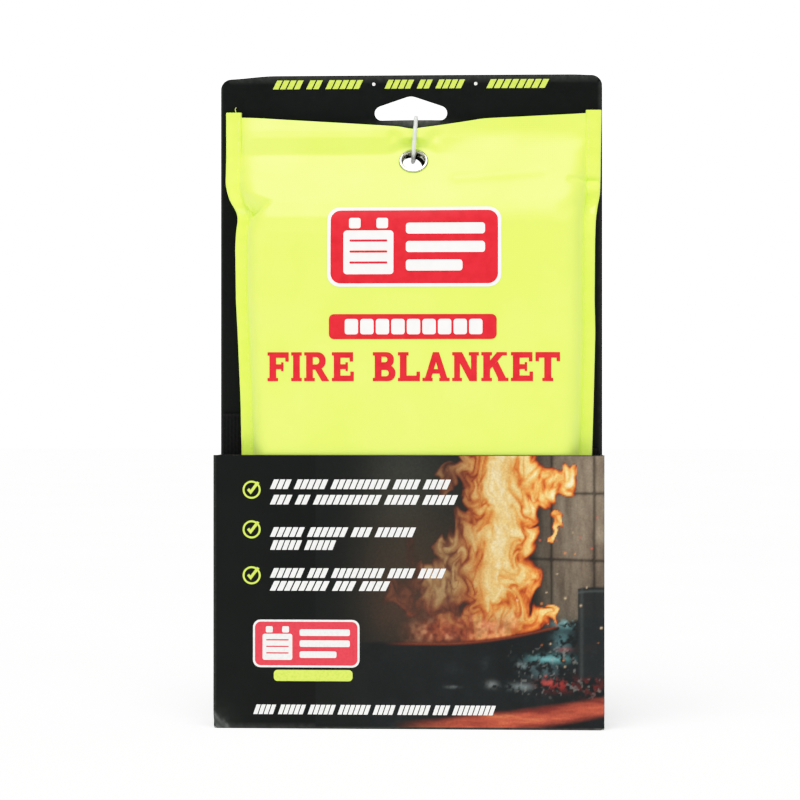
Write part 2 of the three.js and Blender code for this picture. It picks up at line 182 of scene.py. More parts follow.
# Quads round a closed section that is carried along rows; a ring joins its last row to its first
def sweptFaces(rows, count, isRing=False):
    j, i = np.meshgrid(np.arange(rows if isRing else rows - 1), np.arange(count), indexing="ij")
    j, i, ahead, beside = j.ravel(), i.ravel(), (j.ravel() + 1) % rows, (i.ravel() + 1) % count
    corners = (j * count + i, j * count + beside, ahead * count + beside, ahead * count + i)
    return np.stack(corners, axis=1)


def sweptEnds(rows, count):
    last = (rows - 1) * count
    return [list(range(count))[::-1], list(range(last, last + count))]


# Steps of a route in millimetres, and how far along it each point lies
def alongRoute(route):
    runs = np.linalg.norm(np.diff(route, axis=0), axis=1)
    return np.concatenate([[0], np.cumsum(runs)])


def thicken(piece, thickness, rim=0):
    wall = piece.modifiers.new("wall", "SOLIDIFY")
    wall.thickness = thickness * 0.001
    wall.offset = -1  # the wall stands inside the face
    wall.use_even_offset = True
    wall.material_offset_rim = rim
    return wall


# Lets an edit change a piece's mesh
def reshape(piece, edit):
    mesh = bmesh.new()
    mesh.from_mesh(piece.data)
    edit(mesh)
    mesh.to_mesh(piece.data)
    mesh.free()


def turnOutwards(piece):
    reshape(piece, lambda mesh: bmesh.ops.recalc_face_normals(mesh, faces=mesh.faces))


# Makes a piece's modifiers part of its mesh and keeps its folded and cut edges crisp
def settle(piece, angle=40):
    if piece.modifiers:
        mesh = bpy.data.meshes.new_from_object(
            piece.evaluated_get(bpy.context.evaluated_depsgraph_get())
        )
        piece.modifiers.clear()
        piece.data = mesh
        mesh.name = piece.name

    def keepCrisp(mesh):
        for edge in mesh.edges:
            if len(edge.link_faces) == 2 and edge.calc_face_angle(0) > math.radians(angle):
                edge.smooth = False

    reshape(piece, keepCrisp)


# Shares of grey on the black print: real wear at edges and corners, and painted highlight on the
# bent lip and a corner crease
def giveWearAndSheen(piece, wearAndSheen):
    layer = piece.data.attributes.new("wearAndSheen", "FLOAT", "POINT")
    layer.data.foreach_set("value", np.clip(wearAndSheen, 0, 1).astype(float))


def meshPoints(piece):
    points = np.zeros(len(piece.data.vertices) * 3)
    piece.data.vertices.foreach_get("co", points)
    return points.reshape(-1, 3) * 1000


# home is the body that the piece rides on and a material slot name, which is not used
def finishPiece(piece, home, replaces=()):
    settle(piece)
    body, slot = home
    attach(piece, body)
    if replaces:
        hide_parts(*replaces)
    return piece


# Fills shapes with triangles small enough to lie on a curved face. Each shape is a list of
# outlines, the inner ones holes, and shapes may overlap.
def fillShapes(shapes, spacing):
    points, edges, owners = [], [], []
    for loops in shapes:
        more, joined = loopsToEdges(loops)
        joined = [(a + len(points), b + len(points)) for a, b in joined]
        points, joined = splitEdges(points + more, joined, spacing)
        edges += joined
        owners.append(joined)
    points = np.array(points)
    covered = lambda spots: np.any([insideShape(spots, points, own) for own in owners], axis=0)
    ends = zip(points.min(axis=0), points.max(axis=0), (0.37, 0.41))
    lines = [np.arange(low + spacing * shift, high, spacing) for low, high, shift in ends]
    gx, gz = np.meshgrid(*lines)
    inner = np.stack([gx.ravel(), gz.ravel()], axis=1)
    every = np.concatenate([points, inner[covered(inner)]])
    made = delaunay_2d_cdt([Vector(p) for p in every], edges, [], 0, 1e-5)
    verts = np.array([tuple(v) for v in made[0]])
    faces = np.array([list(f) for f in made[2]])
    faces = faces[covered(verts[faces].mean(axis=1))]
    a, b, c = verts[faces[:, 0]], verts[faces[:, 1]], verts[faces[:, 2]]
    area = (b[:, 0] - a[:, 0]) * (c[:, 1] - a[:, 1]) - (b[:, 1] - a[:, 1]) * (c[:, 0] - a[:, 0])
    faces[area < 0] = faces[area < 0][:, ::-1]  # all turned to face the front
    used, place = np.unique(faces[np.abs(area) > 1e-9], return_inverse=True)
    return verts[used], place.reshape(-1, 3)


def splitEdges(points, edges, spacing):
    points, split = list(points), []
    for a, b in edges:
        start, end = np.array(points[a]), np.array(points[b])
        parts = max(1, int(math.ceil(np.linalg.norm(end - start) / spacing)))
        chain = [a] + [len(points) + k for k in range(parts - 1)] + [b]
        points += [tuple(lerp(start, end, (k + 1) / parts)) for k in range(parts - 1)]
        split += [(int(p), int(q)) for p, q in zip(chain, chain[1:])]
    return points, split


# True where a line from the spot to the right crosses the outlines an odd number of times
def insideShape(spots, points, edges):
    odd = np.zeros(len(spots), dtype=bool)
    for a, b in edges:
        (x0, z0), (x1, z1) = points[a], points[b]
        if z0 == z1:
            continue
        crosses = (spots[:, 1] >= min(z0, z1)) & (spots[:, 1] < max(z0, z1))
        odd ^= crosses & (spots[:, 0] < x0 + (spots[:, 1] - z0) * (x1 - x0) / (z1 - z0))
    return odd


def loopsToEdges(loops):
    points, edges = [], []
    for loop in loops:
        first = len(points)
        points += [tuple(p) for p in loop]
        edges += [(first + k, first + (k + 1) % len(loop)) for k in range(len(loop))]
    return points, edges


def roundedBox(lowX, highX, lowZ, highZ, radius, steps=6):
    corners = [
        (highX - radius, highZ - radius, 0),
        (lowX + radius, highZ - radius, 90),
        (lowX + radius, lowZ + radius, 180),
        (highX - radius, lowZ + radius, 270),
    ]
    return [
        (
            x + radius * math.cos(math.radians(a + 90 * k / steps)),
            z + radius * math.sin(math.radians(a + 90 * k / steps)),
        )
        for x, z, a in corners
        for k in range(steps + 1)
    ]


def smoothRoute(points, steps):
    points = np.asarray(points, dtype=float)
    padded = np.concatenate([[2 * points[0] - points[1]], points, [2 * points[-1] - points[-2]]])
    route = []
    for k in range(1, len(padded) - 2):
        p0, p1, p2, p3 = padded[k - 1 : k + 3]
        bend, twist = 2 * p0 - 5 * p1 + 4 * p2 - p3, 3 * p1 - p0 - 3 * p2 + p3
        for s in np.arange(steps) / steps:
            route.append(0.5 * (2 * p1 + (p2 - p0) * s + bend * s**2 + twist * s**3))
    route.append(padded[-2])
    return np.array(route)


def tube(name, route, radius, sides, material):
    route = np.asarray(route, dtype=float)
    along = np.gradient(route, axis=0)
    along /= np.linalg.norm(along, axis=1)[:, None]
    across = np.cross(along[0], (1, 0.1, 0.05))
    points = []
    for spot, way in zip(route, along):
        across = across - way * np.dot(across, way)
        across /= np.linalg.norm(across)
        other = np.cross(way, across)
        for a in 2 * math.pi * np.arange(sides) / sides:
            points.append(spot + radius * (math.cos(a) * across + math.sin(a) * other))
    faces = sweptFaces(len(route), sides).tolist() + sweptEnds(len(route), sides)
    return newPiece(name, points, faces, material)


def ring(x, z, radius, steps=32):
    return [
        (
            x + radius * math.cos(2 * math.pi * k / steps),
            z + radius * math.sin(2 * math.pi * k / steps),
        )
        for k in range(steps)
    ]


def startMaterial(name, colour, roughness, **uniform):
    material = bpy.data.materials.new(name)
    material.use_nodes = True
    shader = material.node_tree.nodes["Principled BSDF"]
    uniform.update(Base_Color=toLinear(colour), Roughness=roughness)
    for socket, value in uniform.items():
        shader.inputs[socket.replace("_", " ")].default_value = value
    return material, material.node_tree, shader


def waveScale(periodMm):  # one band of a wave texture is this long
    return 2 * math.pi / 20 / (periodMm * 0.001)


def noiseScale(sizeMm):
    return 1 / (sizeMm * 0.001)


# height, then bump, into the shader's normal
def giveRelief(tree, shader, height, depthMm, strength=1.0):
    values = {"Height": height, "Distance": depthMm * 0.001, "Strength": strength}
    bump = addNode(tree, "ShaderNodeBump", values)
    tree.links.new(bump.outputs["Normal"], shader.inputs["Normal"])


# Two colours shared out by a value
def giveTones(tree, shader, share, tones, ends=(0.0, 1.0)):
    ramp = addNode(tree, "ShaderNodeValToRGB", {"Fac": share})
    for k in (0, 1):
        stop = ramp.color_ramp.elements[k]
        stop.position, stop.color = ends[k], toLinear(tones[k])
    tree.links.new(ramp.outputs["Color"], shader.inputs["Base Color"])


# Two colours shared out by noise of this size
def giveColourShift(tree, shader, tones, sizeMm, ends=(0.3, 0.7), detail=3.0):
    spot = addNode(tree, "ShaderNodeTexCoord").outputs["Object"]
    values = {"Vector": spot, "Scale": noiseScale(sizeMm), "Detail": detail}
    noise = addNode(tree, "ShaderNodeTexNoise", values)
    giveTones(tree, shader, noise.outputs["Fac"], tones, ends)
    return spot


# Loose fibres or grain of this size, raised a little
def giveFibres(tree, shader, spot, sizeMm, detail, depthMm, strength):
    values = {"Vector": spot, "Scale": noiseScale(sizeMm), "Detail": detail}
    fibre = addNode(tree, "ShaderNodeTexNoise", values)
    giveRelief(tree, shader, fibre.outputs["Fac"], depthMm, strength)
    return fibre.outputs["Fac"]


# Scuffs of this size, duller than the surface round them
def giveScuffs(tree, shader, spot, sizeMm, detail, broken, low, high):
    values = {"Vector": spot, "Scale": noiseScale(sizeMm), "Detail": detail, "Roughness": broken}
    scuff = addNode(tree, "ShaderNodeTexNoise", values)
    values = {"Value": scuff.outputs["Fac"], "From Min": 0.35, "From Max": 0.75}
    dull = addNode(tree, "ShaderNodeMapRange", {**values, "To Min": low, "To Max": high})
    tree.links.new(dull.outputs[0], shader.inputs["Roughness"])


# Plain weave: two crossed waves, with a little unevenness from thread to thread
def weaveHeight(tree, spot, periodMm, unevenMm):
    values = {"Vector": spot, "Scale": waveScale(periodMm)}
    across, upward = [
        addNode(tree, "ShaderNodeTexWave", values, bands_direction=way).outputs["Fac"]
        for way in "XZ"
    ]
    crossed = addNode(tree, "ShaderNodeMath", {0: across, 1: upward}, operation="MULTIPLY")
    values = {"Vector": spot, "Scale": noiseScale(unevenMm), "Detail": 2.0}
    noise = addNode(tree, "ShaderNodeTexNoise", values)
    values = {0: noise.outputs["Fac"], 1: 0.5, 2: crossed.outputs[0]}
    return addNode(tree, "ShaderNodeMath", values, operation="MULTIPLY_ADD").outputs[0]


paleSheen = toLinear("#FBFFDA")
drawnThread = 0.9  # mm; threads are 0.35 mm apart, drawn coarser so that they show close up


# Polyester oxford with a polyurethane coat, dyed fluorescent yellow: smooth and even, a soft
# pale sheen where it leans to the light, deeper colour in its creases.
def coatedClothMaterial():
    material, tree, shader = startMaterial(
        "coated_polyester_cloth", "#DFF968", 0.46, Sheen_Weight=0.2, Sheen_Roughness=0.45,
        Sheen_Tint=paleSheen, Specular_IOR_Level=0.62,
    )
    spot = giveColourShift(tree, shader, ("#DAF65A", "#DFF968"), 26)
    giveRelief(tree, shader, weaveHeight(tree, spot, drawnThread, 5), 0.035, 0.55)
    return material


# The same dye on a narrow woven ribbon: ribs across it, slightly deeper in colour.
def bindingMaterial():
    material, tree, shader = startMaterial(
        "woven_binding_ribbon", "#E8F96C", 0.62, Sheen_Weight=0.2, Sheen_Roughness=0.5,
        Sheen_Tint=paleSheen, Specular_IOR_Level=0.3,
    )
    spot = giveColourShift(tree, shader, ("#D8F556", "#DEF864"), 14)
    # ribbon ribs are 0.5 mm apart; drawn at 0.8 mm so that they show
    values = {"Vector": spot, "Scale": waveScale(0.8), "Distortion": 0.6, "Detail": 1.0}
    ribs = addNode(tree, "ShaderNodeTexWave", values, bands_direction="Z")
    giveRelief(tree, shader, ribs.outputs["Fac"], 0.04, 0.6)
    return material


# Screen-printed ink on the cloth: flat, opaque, hardly glossy, and the weave shows through it.
def clothInkMaterial(name, colour, deeper):
    material, tree, shader = startMaterial(name, colour, 0.48, Specular_IOR_Level=0.12)
    spot = giveColourShift(tree, shader, (deeper, colour), 4, (0.25, 0.6))
    giveRelief(tree, shader, weaveHeight(tree, spot, drawnThread, 3), 0.02, 0.5)
    return material


# Offset-printed solid black on coated board with a satin varnish: near black, a faint cool lift,
# light scuffs that turn it dull, and grey board where it is rubbed through at edges and corners;
# the same grey also paints a highlight on the bent lip below the slot and on a crease at the front
# panel's foot.
def boardPrintMaterial():
    material, tree, shader = startMaterial(
        "printed_black_board", "#080B09", 0.42, Specular_IOR_Level=0.11
    )
    spot = giveColourShift(tree, shader, ("#080B09", "#0C100E"), 38, (0.35, 0.7))
    ink = shader.inputs["Base Color"].links[0].from_socket
    # grey from real wear, and painted highlight where the board bends
    wearAndSheenLevel = addNode(tree, "ShaderNodeAttribute", attribute_name="wearAndSheen").outputs["Fac"]
    values = {"Vector": spot, "Scale": noiseScale(2.2), "Detail": 5.0}
    fleck = addNode(tree, "ShaderNodeTexNoise", values).outputs["Fac"]
    greyShare = addNode(tree, "ShaderNodeMath", {0: wearAndSheenLevel, 1: fleck}, operation="MULTIPLY")
    values = {"Factor": greyShare.outputs[0], 6: ink, 7: toLinear("#9A9E98")}
    shown = addNode(tree, "ShaderNodeMix", values, data_type="RGBA")
    tree.links.new(shown.outputs[2], shader.inputs["Base Color"])
    giveScuffs(tree, shader, spot, 3.5, 6.0, 0.7, 0.36, 0.55)
    giveFibres(tree, shader, spot, 0.9, 3.0, 0.02, 0.35)
    return material


# Cut edge and unprinted side of recycled greyboard: matt warm grey with loose fibres.
def rawBoardMaterial():
    material, tree, shader = startMaterial(
        "raw_grey_board", "#A5A5A0", 0.92, Specular_IOR_Level=0.2
    )
    spot = giveColourShift(tree, shader, ("#8E8E89", "#B4B3AD"), 1.2, detail=5.0)
    giveFibres(tree, shader, spot, 0.4, 4.0, 0.06, 0.6)
    return material


# Opaque process ink under the same satin varnish.
def boardInkMaterial(name, colour, deeper):
    material, tree, shader = startMaterial(name, colour, 0.42, Specular_IOR_Level=0.3)
    spot = giveColourShift(tree, shader, (deeper, colour), 1.1, (0.2, 0.55))
    giveFibres(tree, shader, spot, 0.9, 3.0, 0.02, 0.3)
    return material


# Four-colour picture of a pan fire under the varnish: its inks are worked out point by point
# on the mesh, and a fine grain stands for the print screen.
def pictureMaterial():
    material, tree, shader = startMaterial(
        "four_colour_print", "#15191A", 0.42, Specular_IOR_Level=0.14
    )
    inks = addNode(tree, "ShaderNodeAttribute", attribute_name="inks")
    spot = addNode(tree, "ShaderNodeTexCoord").outputs["Object"]
    grain = giveFibres(tree, shader, spot, 0.8, 4.0, 0.02, 0.3)
    values = {"Value": grain, "From Min": 0.3, "From Max": 0.7, "To Min": 0.86, "To Max": 1.12}
    level = addNode(tree, "ShaderNodeMapRange", values)
    values = {0: inks.outputs["Color"], "Scale": level.outputs[0]}
    inked = addNode(tree, "ShaderNodeVectorMath", values, operation="SCALE")
    tree.links.new(inked.outputs["Vector"], shader.inputs["Base Color"])
    return material


# Woven glass-fibre cloth: off-white, a hard silky glint along its flat yarns.
def glassClothMaterial():
    material, tree, shader = startMaterial(
        "woven_glass_cloth", "#E9E8E0", 0.5, Sheen_Weight=0.3, Sheen_Roughness=0.3,
        Specular_IOR_Level=0.6,
    )
    spot = addNode(tree, "ShaderNodeUVMap", uv_map="cloth").outputs["UV"]
    # yarns are 0.9 mm apart both ways, and the map is in metres of flat cloth
    values = {"Vector": spot, "Scale": waveScale(0.9), "Distortion": 0.3}
    warp, weft = [
        addNode(tree, "ShaderNodeTexWave", values, bands_direction=way).outputs["Fac"]
        for way in "XY"
    ]
    crossed = addNode(tree, "ShaderNodeMath", {0: warp, 1: weft}, operation="MULTIPLY").outputs[0]
    giveTones(tree, shader, crossed, ("#D3D1C6", "#F1F0EA"))
    giveRelief(tree, shader, crossed, 0.12, 0.8)
    return material


# Black polypropylene webbing: dull ribs along it, small diagonal floats across.
def webbingMaterial():
    material, tree, shader = startMaterial("black_webbing", "#060607", 0.7, Specular_IOR_Level=0.12)
    spot = addNode(tree, "ShaderNodeUVMap", uv_map="cloth").outputs["UV"]
    # five-thread ribs are 1.6 mm apart across the tape, and the floats 1.3 mm
    ribs, floats = [
        addNode(
            tree, "ShaderNodeTexWave", {
                "Vector": spot, "Scale": waveScale(period), "Distortion": bent
            },
            bands_direction=way,
        ).outputs["Fac"]
        for period, bent, way in ((1.6, 0.0, "X"), (1.3, 0.4, "DIAGONAL"))
    ]
    values = {0: floats, 1: 0.55, 2: ribs}
    woven = addNode(tree, "ShaderNodeMath", values, operation="MULTIPLY_ADD").outputs[0]
    giveTones(tree, shader, woven, ("#030303", "#0C0D0E"))
    giveRelief(tree, shader, woven, 0.14, 0.7)
    return material


# Bonded polyester sewing thread: soft gloss, twisted.
def threadMaterial(name, colour, deeper):
    material, tree, shader = startMaterial(name, colour, 0.5, Sheen_Weight=0.2)
    giveColourShift(tree, shader, (deeper, colour), 0.6, (0.3, 0.6))
    return material


# Nickel-plated steel, rolled over: bright, hardly scratched.
def eyeletMaterial():
    material, tree, shader = startMaterial("nickel_plated_steel", "#BFBDAC", 0.2, Metallic=1.0)
    spot = addNode(tree, "ShaderNodeTexCoord").outputs["Object"]
    giveScuffs(tree, shader, spot, 0.8, 5.0, 0.5, 0.12, 0.3)
    return material


# Natural nylon of a retail loop: milky, lets light through, moulded smooth.
def loopMaterial():
    material, tree, shader = startMaterial(
        "natural_nylon", "#EFF0EC", 0.3, Transmission_Weight=0.25, IOR=1.5,
        Subsurface_Weight=0.3, Subsurface_Radius=(0.002, 0.002, 0.002),
    )
    giveColourShift(tree, shader, ("#E6E8E2", "#F4F5F2"), 3)
    return material


# Seamless paper, nearly white and quite matt.
def floorMaterial():
    material, tree, shader = startMaterial(
        "seamless_paper", studio["floorColour"], 0.9, Specular_IOR_Level=0.1,
        Emission_Color=(1, 1, 1, 1), Emission_Strength=studio["floorGlow"],
    )
    giveColourShift(tree, shader, ("#F7F7F6", "#FDFDFD"), 180)
    return material


finish = {
    "cloth": coatedClothMaterial(),
    "binding": bindingMaterial(),
    "redInk": clothInkMaterial("red_screen_ink", "#DE2733", "#D01F2B"),
    "whiteInk": clothInkMaterial("white_screen_ink", "#FAF6F4", "#F3EEEC"),
    "board": boardPrintMaterial(),
    "rawBoard": rawBoardMaterial(),
    "boardWhite": boardInkMaterial("white_board_ink", "#EDEDEA", "#D8D9D6"),
    "boardGreen": boardInkMaterial("yellow_green_board_ink", "#CDE25C", "#B9D24A"),
    "boardRed": boardInkMaterial("red_board_ink", "#DB3A48", "#C92F3D"),
    "picture": pictureMaterial(),
    "glass": glassClothMaterial(),
    "webbing": webbingMaterial(),
    "blackThread": threadMaterial("black_polyester_thread", "#1B1D20", "#0F1012"),
    "yellowThread": threadMaterial("yellow_polyester_thread", "#EAF98A", "#D9EE5A"),
    "steel": eyeletMaterial(),
    "nylon": loopMaterial(),
}
print("materials mixed:", len(finish))


def layFloor():
    half = studio["floorHalf"]
    corners = [(-half, -half, 0), (half, -half, 0), (half, half, 0), (-half, half, 0)]
    newPiece("floor", corners, [(0, 1, 2, 3)], floorMaterial())
    world = bpy.data.worlds.new("studio")
    bpy.context.scene.world = world
    world.use_nodes = True
    tree = world.node_tree
    tree.nodes.clear()
    path = addNode(tree, "ShaderNodeLightPath")
    room, seen = [
        addNode(tree, "ShaderNodeBackground", {"Color": (1, 1, 1, 1), "Strength": studio[light]})
        for light in ("roomLight", "whitePoint")
    ]
    values = {0: path.outputs["Is Camera Ray"], 1: room.outputs[0], 2: seen.outputs[0]}
    both = addNode(tree, "ShaderNodeMixShader", values)
    addNode(tree, "ShaderNodeOutputWorld", {"Surface": both.outputs[0]})
    view = bpy.context.scene.view_settings
    view.view_transform = "Standard"
    view.use_curve_mapping = True
    film = view.curve_mapping
    film.white_level = [studio["whitePoint"]] * 3
    for at, level in studio["shoulder"]:
        film.curves[3].points.new(at, level)
    film.update()


layFloor()


# A tree that sets one small shape on every point of a mesh. Each point says which way its
# own shape is turned ("heading") and how long it is ("reach", times the Length input).
def repeatTree(name, shape, inputs):
    tree = bpy.data.node_groups.new(name, "GeometryNodeTree")
    addSocket = tree.interface.new_socket
    addSocket("Geometry", in_out="OUTPUT", socket_type="NodeSocketGeometry")
    addSocket("Geometry", in_out="INPUT", socket_type="NodeSocketGeometry")
    for label, start in inputs.items():
        addSocket(label, in_out="INPUT", socket_type="NodeSocketFloat").default_value = start
    addSocket("Material", in_out="INPUT", socket_type="NodeSocketMaterial")
    source = addNode(tree, "NodeGroupInput")
    heading, reach = [
        addNode(tree, "GeometryNodeInputNamedAttribute", {"Name": label}, data_type=kind).outputs[0]
        for label, kind in (("heading", "FLOAT_VECTOR"), ("reach", "FLOAT"))
    ]
    turn = addNode(tree, "FunctionNodeEulerToRotation", {0: heading})
    stretch = addNode(tree, "ShaderNodeCombineXYZ", {"X": reach, "Y": 1.0, "Z": 1.0})
    placed = addNode(
        tree,
        "GeometryNodeInstanceOnPoints",
        {
            "Points": source.outputs["Geometry"],
            "Instance": shape(tree, source),
            "Rotation": turn.outputs[0],
            "Scale": stretch.outputs[0],
        },
    )
    real = addNode(tree, "GeometryNodeRealizeInstances", {"Geometry": placed.outputs[0]})
    values = {"Geometry": real.outputs[0], "Material": source.outputs["Material"]}
    coloured = addNode(tree, "GeometryNodeSetMaterial", values)
    addNode(tree, "NodeGroupOutput", {0: coloured.outputs[0]})
    return tree


# One stitch: a short rounded grain lying along X
def stitchShape(tree, source):
    grain = addNode(tree, "GeometryNodeMeshUVSphere", {"Segments": 6, "Rings": 5, "Radius": 0.5})
    thick = source.outputs["Thickness"]
    values = {"X": source.outputs["Length"], "Y": thick, "Z": thick}
    size = addNode(tree, "ShaderNodeCombineXYZ", values)
    values = {"Geometry": grain.outputs["Mesh"], "Scale": size.outputs[0]}
    return addNode(tree, "GeometryNodeTransform", values).outputs[0]


# One printed block: a flat slanted tile in X and Z that faces the front
def blockShape(tree, source):
    size = {"Size X": source.outputs["Length"], "Size Y": source.outputs["Height"]}
    tile = addNode(tree, "GeometryNodeMeshGrid", {**size, "Vertices X": 2, "Vertices Y": 2})
    spot = addNode(tree, "GeometryNodeInputPosition")
    parts = addNode(tree, "ShaderNodeSeparateXYZ", {0: spot.outputs[0]})
    values = {0: parts.outputs["Y"], 1: source.outputs["Slant"], 2: parts.outputs["X"]}
    lean = addNode(tree, "ShaderNodeMath", values, operation="MULTIPLY_ADD")
    values = {"X": lean.outputs[0], "Y": 0.0, "Z": parts.outputs["Y"]}
    standing = addNode(tree, "ShaderNodeCombineXYZ", values)
    values = {"Geometry": tile.outputs["Mesh"], "Position": standing.outputs[0]}
    return addNode(tree, "GeometryNodeSetPosition", values).outputs[0]


stitchTree = repeatTree("stitchRow", stitchShape, {"Length": 0.0026, "Thickness": 0.0005})
blockTree = repeatTree(
    "printedBlocks", blockShape, {"Length": 0.002, "Height": 0.004, "Slant": 0.2}
)


# Runs a tree over points in millimetres and gives back a plain mesh object
def repeatAt(name, tree, points, headings, reaches, material, values):
    seeds = bpy.data.meshes.new(name + "_seeds")
    seeds.from_pydata((np.asarray(points, dtype=float) * 0.001).tolist(), [], [])
    turned = seeds.attributes.new("heading", "FLOAT_VECTOR", "POINT")
    turned.data.foreach_set("vector", np.asarray(headings, dtype=float).ravel())
    long = seeds.attributes.new("reach", "FLOAT", "POINT")
    long.data.foreach_set("value", np.asarray(reaches, dtype=float))
    maker = putInScene(name + "_seeds", seeds)
    run = maker.modifiers.new("repeat", "NODES")
    run.node_group = tree
    sockets = {s.name: s.identifier for s in tree.interface.items_tree if s.in_out == "INPUT"}
    for label, value in values.items():
        run[sockets[label]] = value if label == "Slant" else value * 0.001
    run[sockets["Material"]] = material
    evaluated = maker.evaluated_get(bpy.context.evaluated_depsgraph_get())
    mesh = bpy.data.meshes.new_from_object(evaluated)
    maker.modifiers.remove(run)
    bpy.data.objects.remove(maker)
    bpy.data.meshes.remove(seeds)
    mesh.name = name
    return putInScene(name, mesh)


# Stitches along a path in millimetres: where each lies and which way it points
def stitchesAlong(path, pitch):
    path = np.asarray(path, dtype=float)
    at = alongRoute(path)
    count = max(2, int(at[-1] / pitch))
    middle = (np.arange(count) + 0.5) * at[-1] / count
    on = lambda where: np.stack([np.interp(where, at, path[:, k]) for k in range(3)], axis=1)
    ways = on(middle + 0.4) - on(middle - 0.4)
    turns = [Vector((1, 0, 0)).rotation_difference(Vector(way)).to_euler() for way in ways]
    return on(middle).tolist(), [list(turn) for turn in turns]


def stitchPiece(name, paths, stitch, material, home, replaces=()):
    points, headings = [], []
    for path in paths:
        spots, turns = stitchesAlong(path, stitch["pitch"])
        points += spots
        headings += turns
    sizes = {"Length": stitch["length"], "Thickness": stitch["thickness"]}
    piece = repeatAt(name, stitchTree, points, headings, [1.0] * len(points), material, sizes)
    piece.data.polygons.foreach_set("use_smooth", [True] * len(piece.data.polygons))
    finishPiece(piece, home, replaces)


# The board: one die-cut blank, folded into a card with a pocket
board = {
    "halfWidth": 84.2,
    "height": 285.0,
    "thickness": 0.55,
    "frontY": 13.4,
    "backY": 13.95,
    "cornerRadius": 4.6,
    "leftDrop": 1.4,  # the top edge falls away this much towards each corner
    "rightDrop": 0.4,
    "pocketHeight": 118.0,
    "pocketFrontY": -14.0,
    "creaseRadius": 0.9,
    "slotHalfWidth": 16.0,
    "slotFlatZ": 265.0,
    "slotPeakZ": 275.9,
    "slotEndRadius": 3.2,
    "loopHoleZ": 243.3,
    "loopHoleRadius": 5.2,
    "flapWidth": 12.0,
    "flapGap": 0.75,  # from the front panel's face to the glue flap's
    "lipX": 1.5,  # the loop pulls the lip below the slot forwards here
    "lipPull": 1.7,
    "bow": 0.5,
    "nip": 1.7,  # the bottom corners are knocked in
    "nipReach": 9,
}
cardFaces = [finish["board"], finish["rawBoard"]]
onCard = ("card", "printed_board")  # the body it rides on, and its material slot


# How the standing board bends
def boardFrontY(x, z):
    lip = board["lipPull"] * np.exp(-(((x - board["lipX"]) / 15) ** 2)) * ease(z, 256, 267)
    lip = lip * (z < board["slotFlatZ"] + 0.05)
    bow = board["bow"] * ease(z, 215, 284) * (1 - (x / board["halfWidth"]) ** 2)
    return board["frontY"] - lip - bow + 0.12 * lumps(x, z, 55, 3)


def slotOutline():
    radius, flat = board["slotEndRadius"], board["slotFlatZ"]
    endX, endZ = board["slotHalfWidth"] - radius, flat + radius
    rise = board["slotPeakZ"] - endZ
    turn = math.atan2(rise, endX) - math.asin(radius / math.hypot(endX, rise))
    steps = 10
    half = [
        (endX + radius * math.cos(a), endZ + radius * math.sin(a))
        for a in np.linspace(-math.pi / 2, math.pi / 2 - turn, steps)
    ]
    peak = [
        ((1 - s) * half[-1][0], (1 - s) * half[-1][1] + s * board["slotPeakZ"]) for s in (
            0.3, 0.6, 0.85, 0.95
        )
    ]
    peak[-1] = (peak[-1][0], peak[-1][1] - 0.12)
    right = half + peak
    left = [(-x, z) for x, z in reversed(right)]
    bottom = [(x, flat) for x in np.linspace(-endX, endX, 14)[1:-1]]
    return right + left + bottom


def backPanelOutline():
    half, top, radius = board["halfWidth"], board["height"], board["cornerRadius"]
    left, right = board["leftDrop"], board["rightDrop"]
    drop = lambda x: left * float(ease(-x, 60, 82)) + right * float(ease(x, 70, 84))
    sideZ = np.linspace(board["creaseRadius"], top - radius - left - 0.2, 90)
    points = [(half, z) for z in sideZ]
    for a in np.linspace(0, 90, 9)[1:]:
        x = half - radius + radius * math.cos(math.radians(a))
        points.append((x, top - radius - drop(x) + radius * math.sin(math.radians(a))))
    points += [(x, top - drop(x)) for x in np.linspace(half - radius, -half + radius, 60)[1:-1]]
    for a in np.linspace(90, 180, 9)[:-1]:
        x = -half + radius + radius * math.cos(math.radians(a))
        points.append((x, top - radius - drop(x) + radius * math.sin(math.radians(a))))
    points += [(-half, z) for z in sideZ[::-1]]
    points += [(x, board["creaseRadius"]) for x in np.linspace(-half, half, 50)[1:-1]]
    return points


# Flat shapes stood up on a face: faceY gives its depth
def standShapes(name, shapes, spacing, faceY, material, proud=0.0):
    flat, faces = fillShapes(shapes, spacing)
    y = faceY(flat[:, 0], flat[:, 1]) - proud
    return newPiece(name, np.stack([flat[:, 0], y, flat[:, 1]], axis=1), faces, material)


def makeBackPanel():
    hole = ring(0, board["loopHoleZ"], board["loopHoleRadius"], 40)
    loops = [backPanelOutline(), slotOutline(), hole]
    panel = standShapes("card_back_panel", [loops], 3.0, boardFrontY, cardFaces)
    x, _, z = meshPoints(panel).T
    # painted highlight: grey on the lip below the slot where its forward bend catches the light;
    # the edges get real wear
    lip = np.exp(-(((x - board["lipX"]) / 12) ** 2)) * ease(z, 259.5, 265)
    lip = lip * (z < board["slotFlatZ"] + 0.1)
    edges = (np.abs(x) > board["halfWidth"] - 0.4) | (z > board["height"] - 1.6)
    giveWearAndSheen(panel, 0.9 * lip + 0.14 * edges)
    thicken(panel, board["thickness"], rim=1)
    finishPiece(panel, onCard, ["back_panel"])


# A strip of board folded along a path, which lies in the two axes that the strip doesn't run in
def foldedStrip(name, path, ends, axis, steps, material, turned):
    points = np.zeros((steps, len(path), 3))
    points[:, :, axis] = np.linspace(*ends, steps)[:, None]
    points[:, :, [k for k in range(3) if k != axis]] = np.asarray(path, dtype=float)
    strip = newPiece(name, points.reshape(-1, 3), gridFaces(len(path), steps, turned), material)
    thicken(strip, board["thickness"], rim=1)
    return strip


def bendPoints(centre, radius, start, end, steps=7):
    return [
        (
            centre[0] + radius * math.cos(math.radians(a)),
            centre[1] + radius * math.sin(math.radians(a)),
        )
        for a in np.linspace(start, end, steps)
    ]


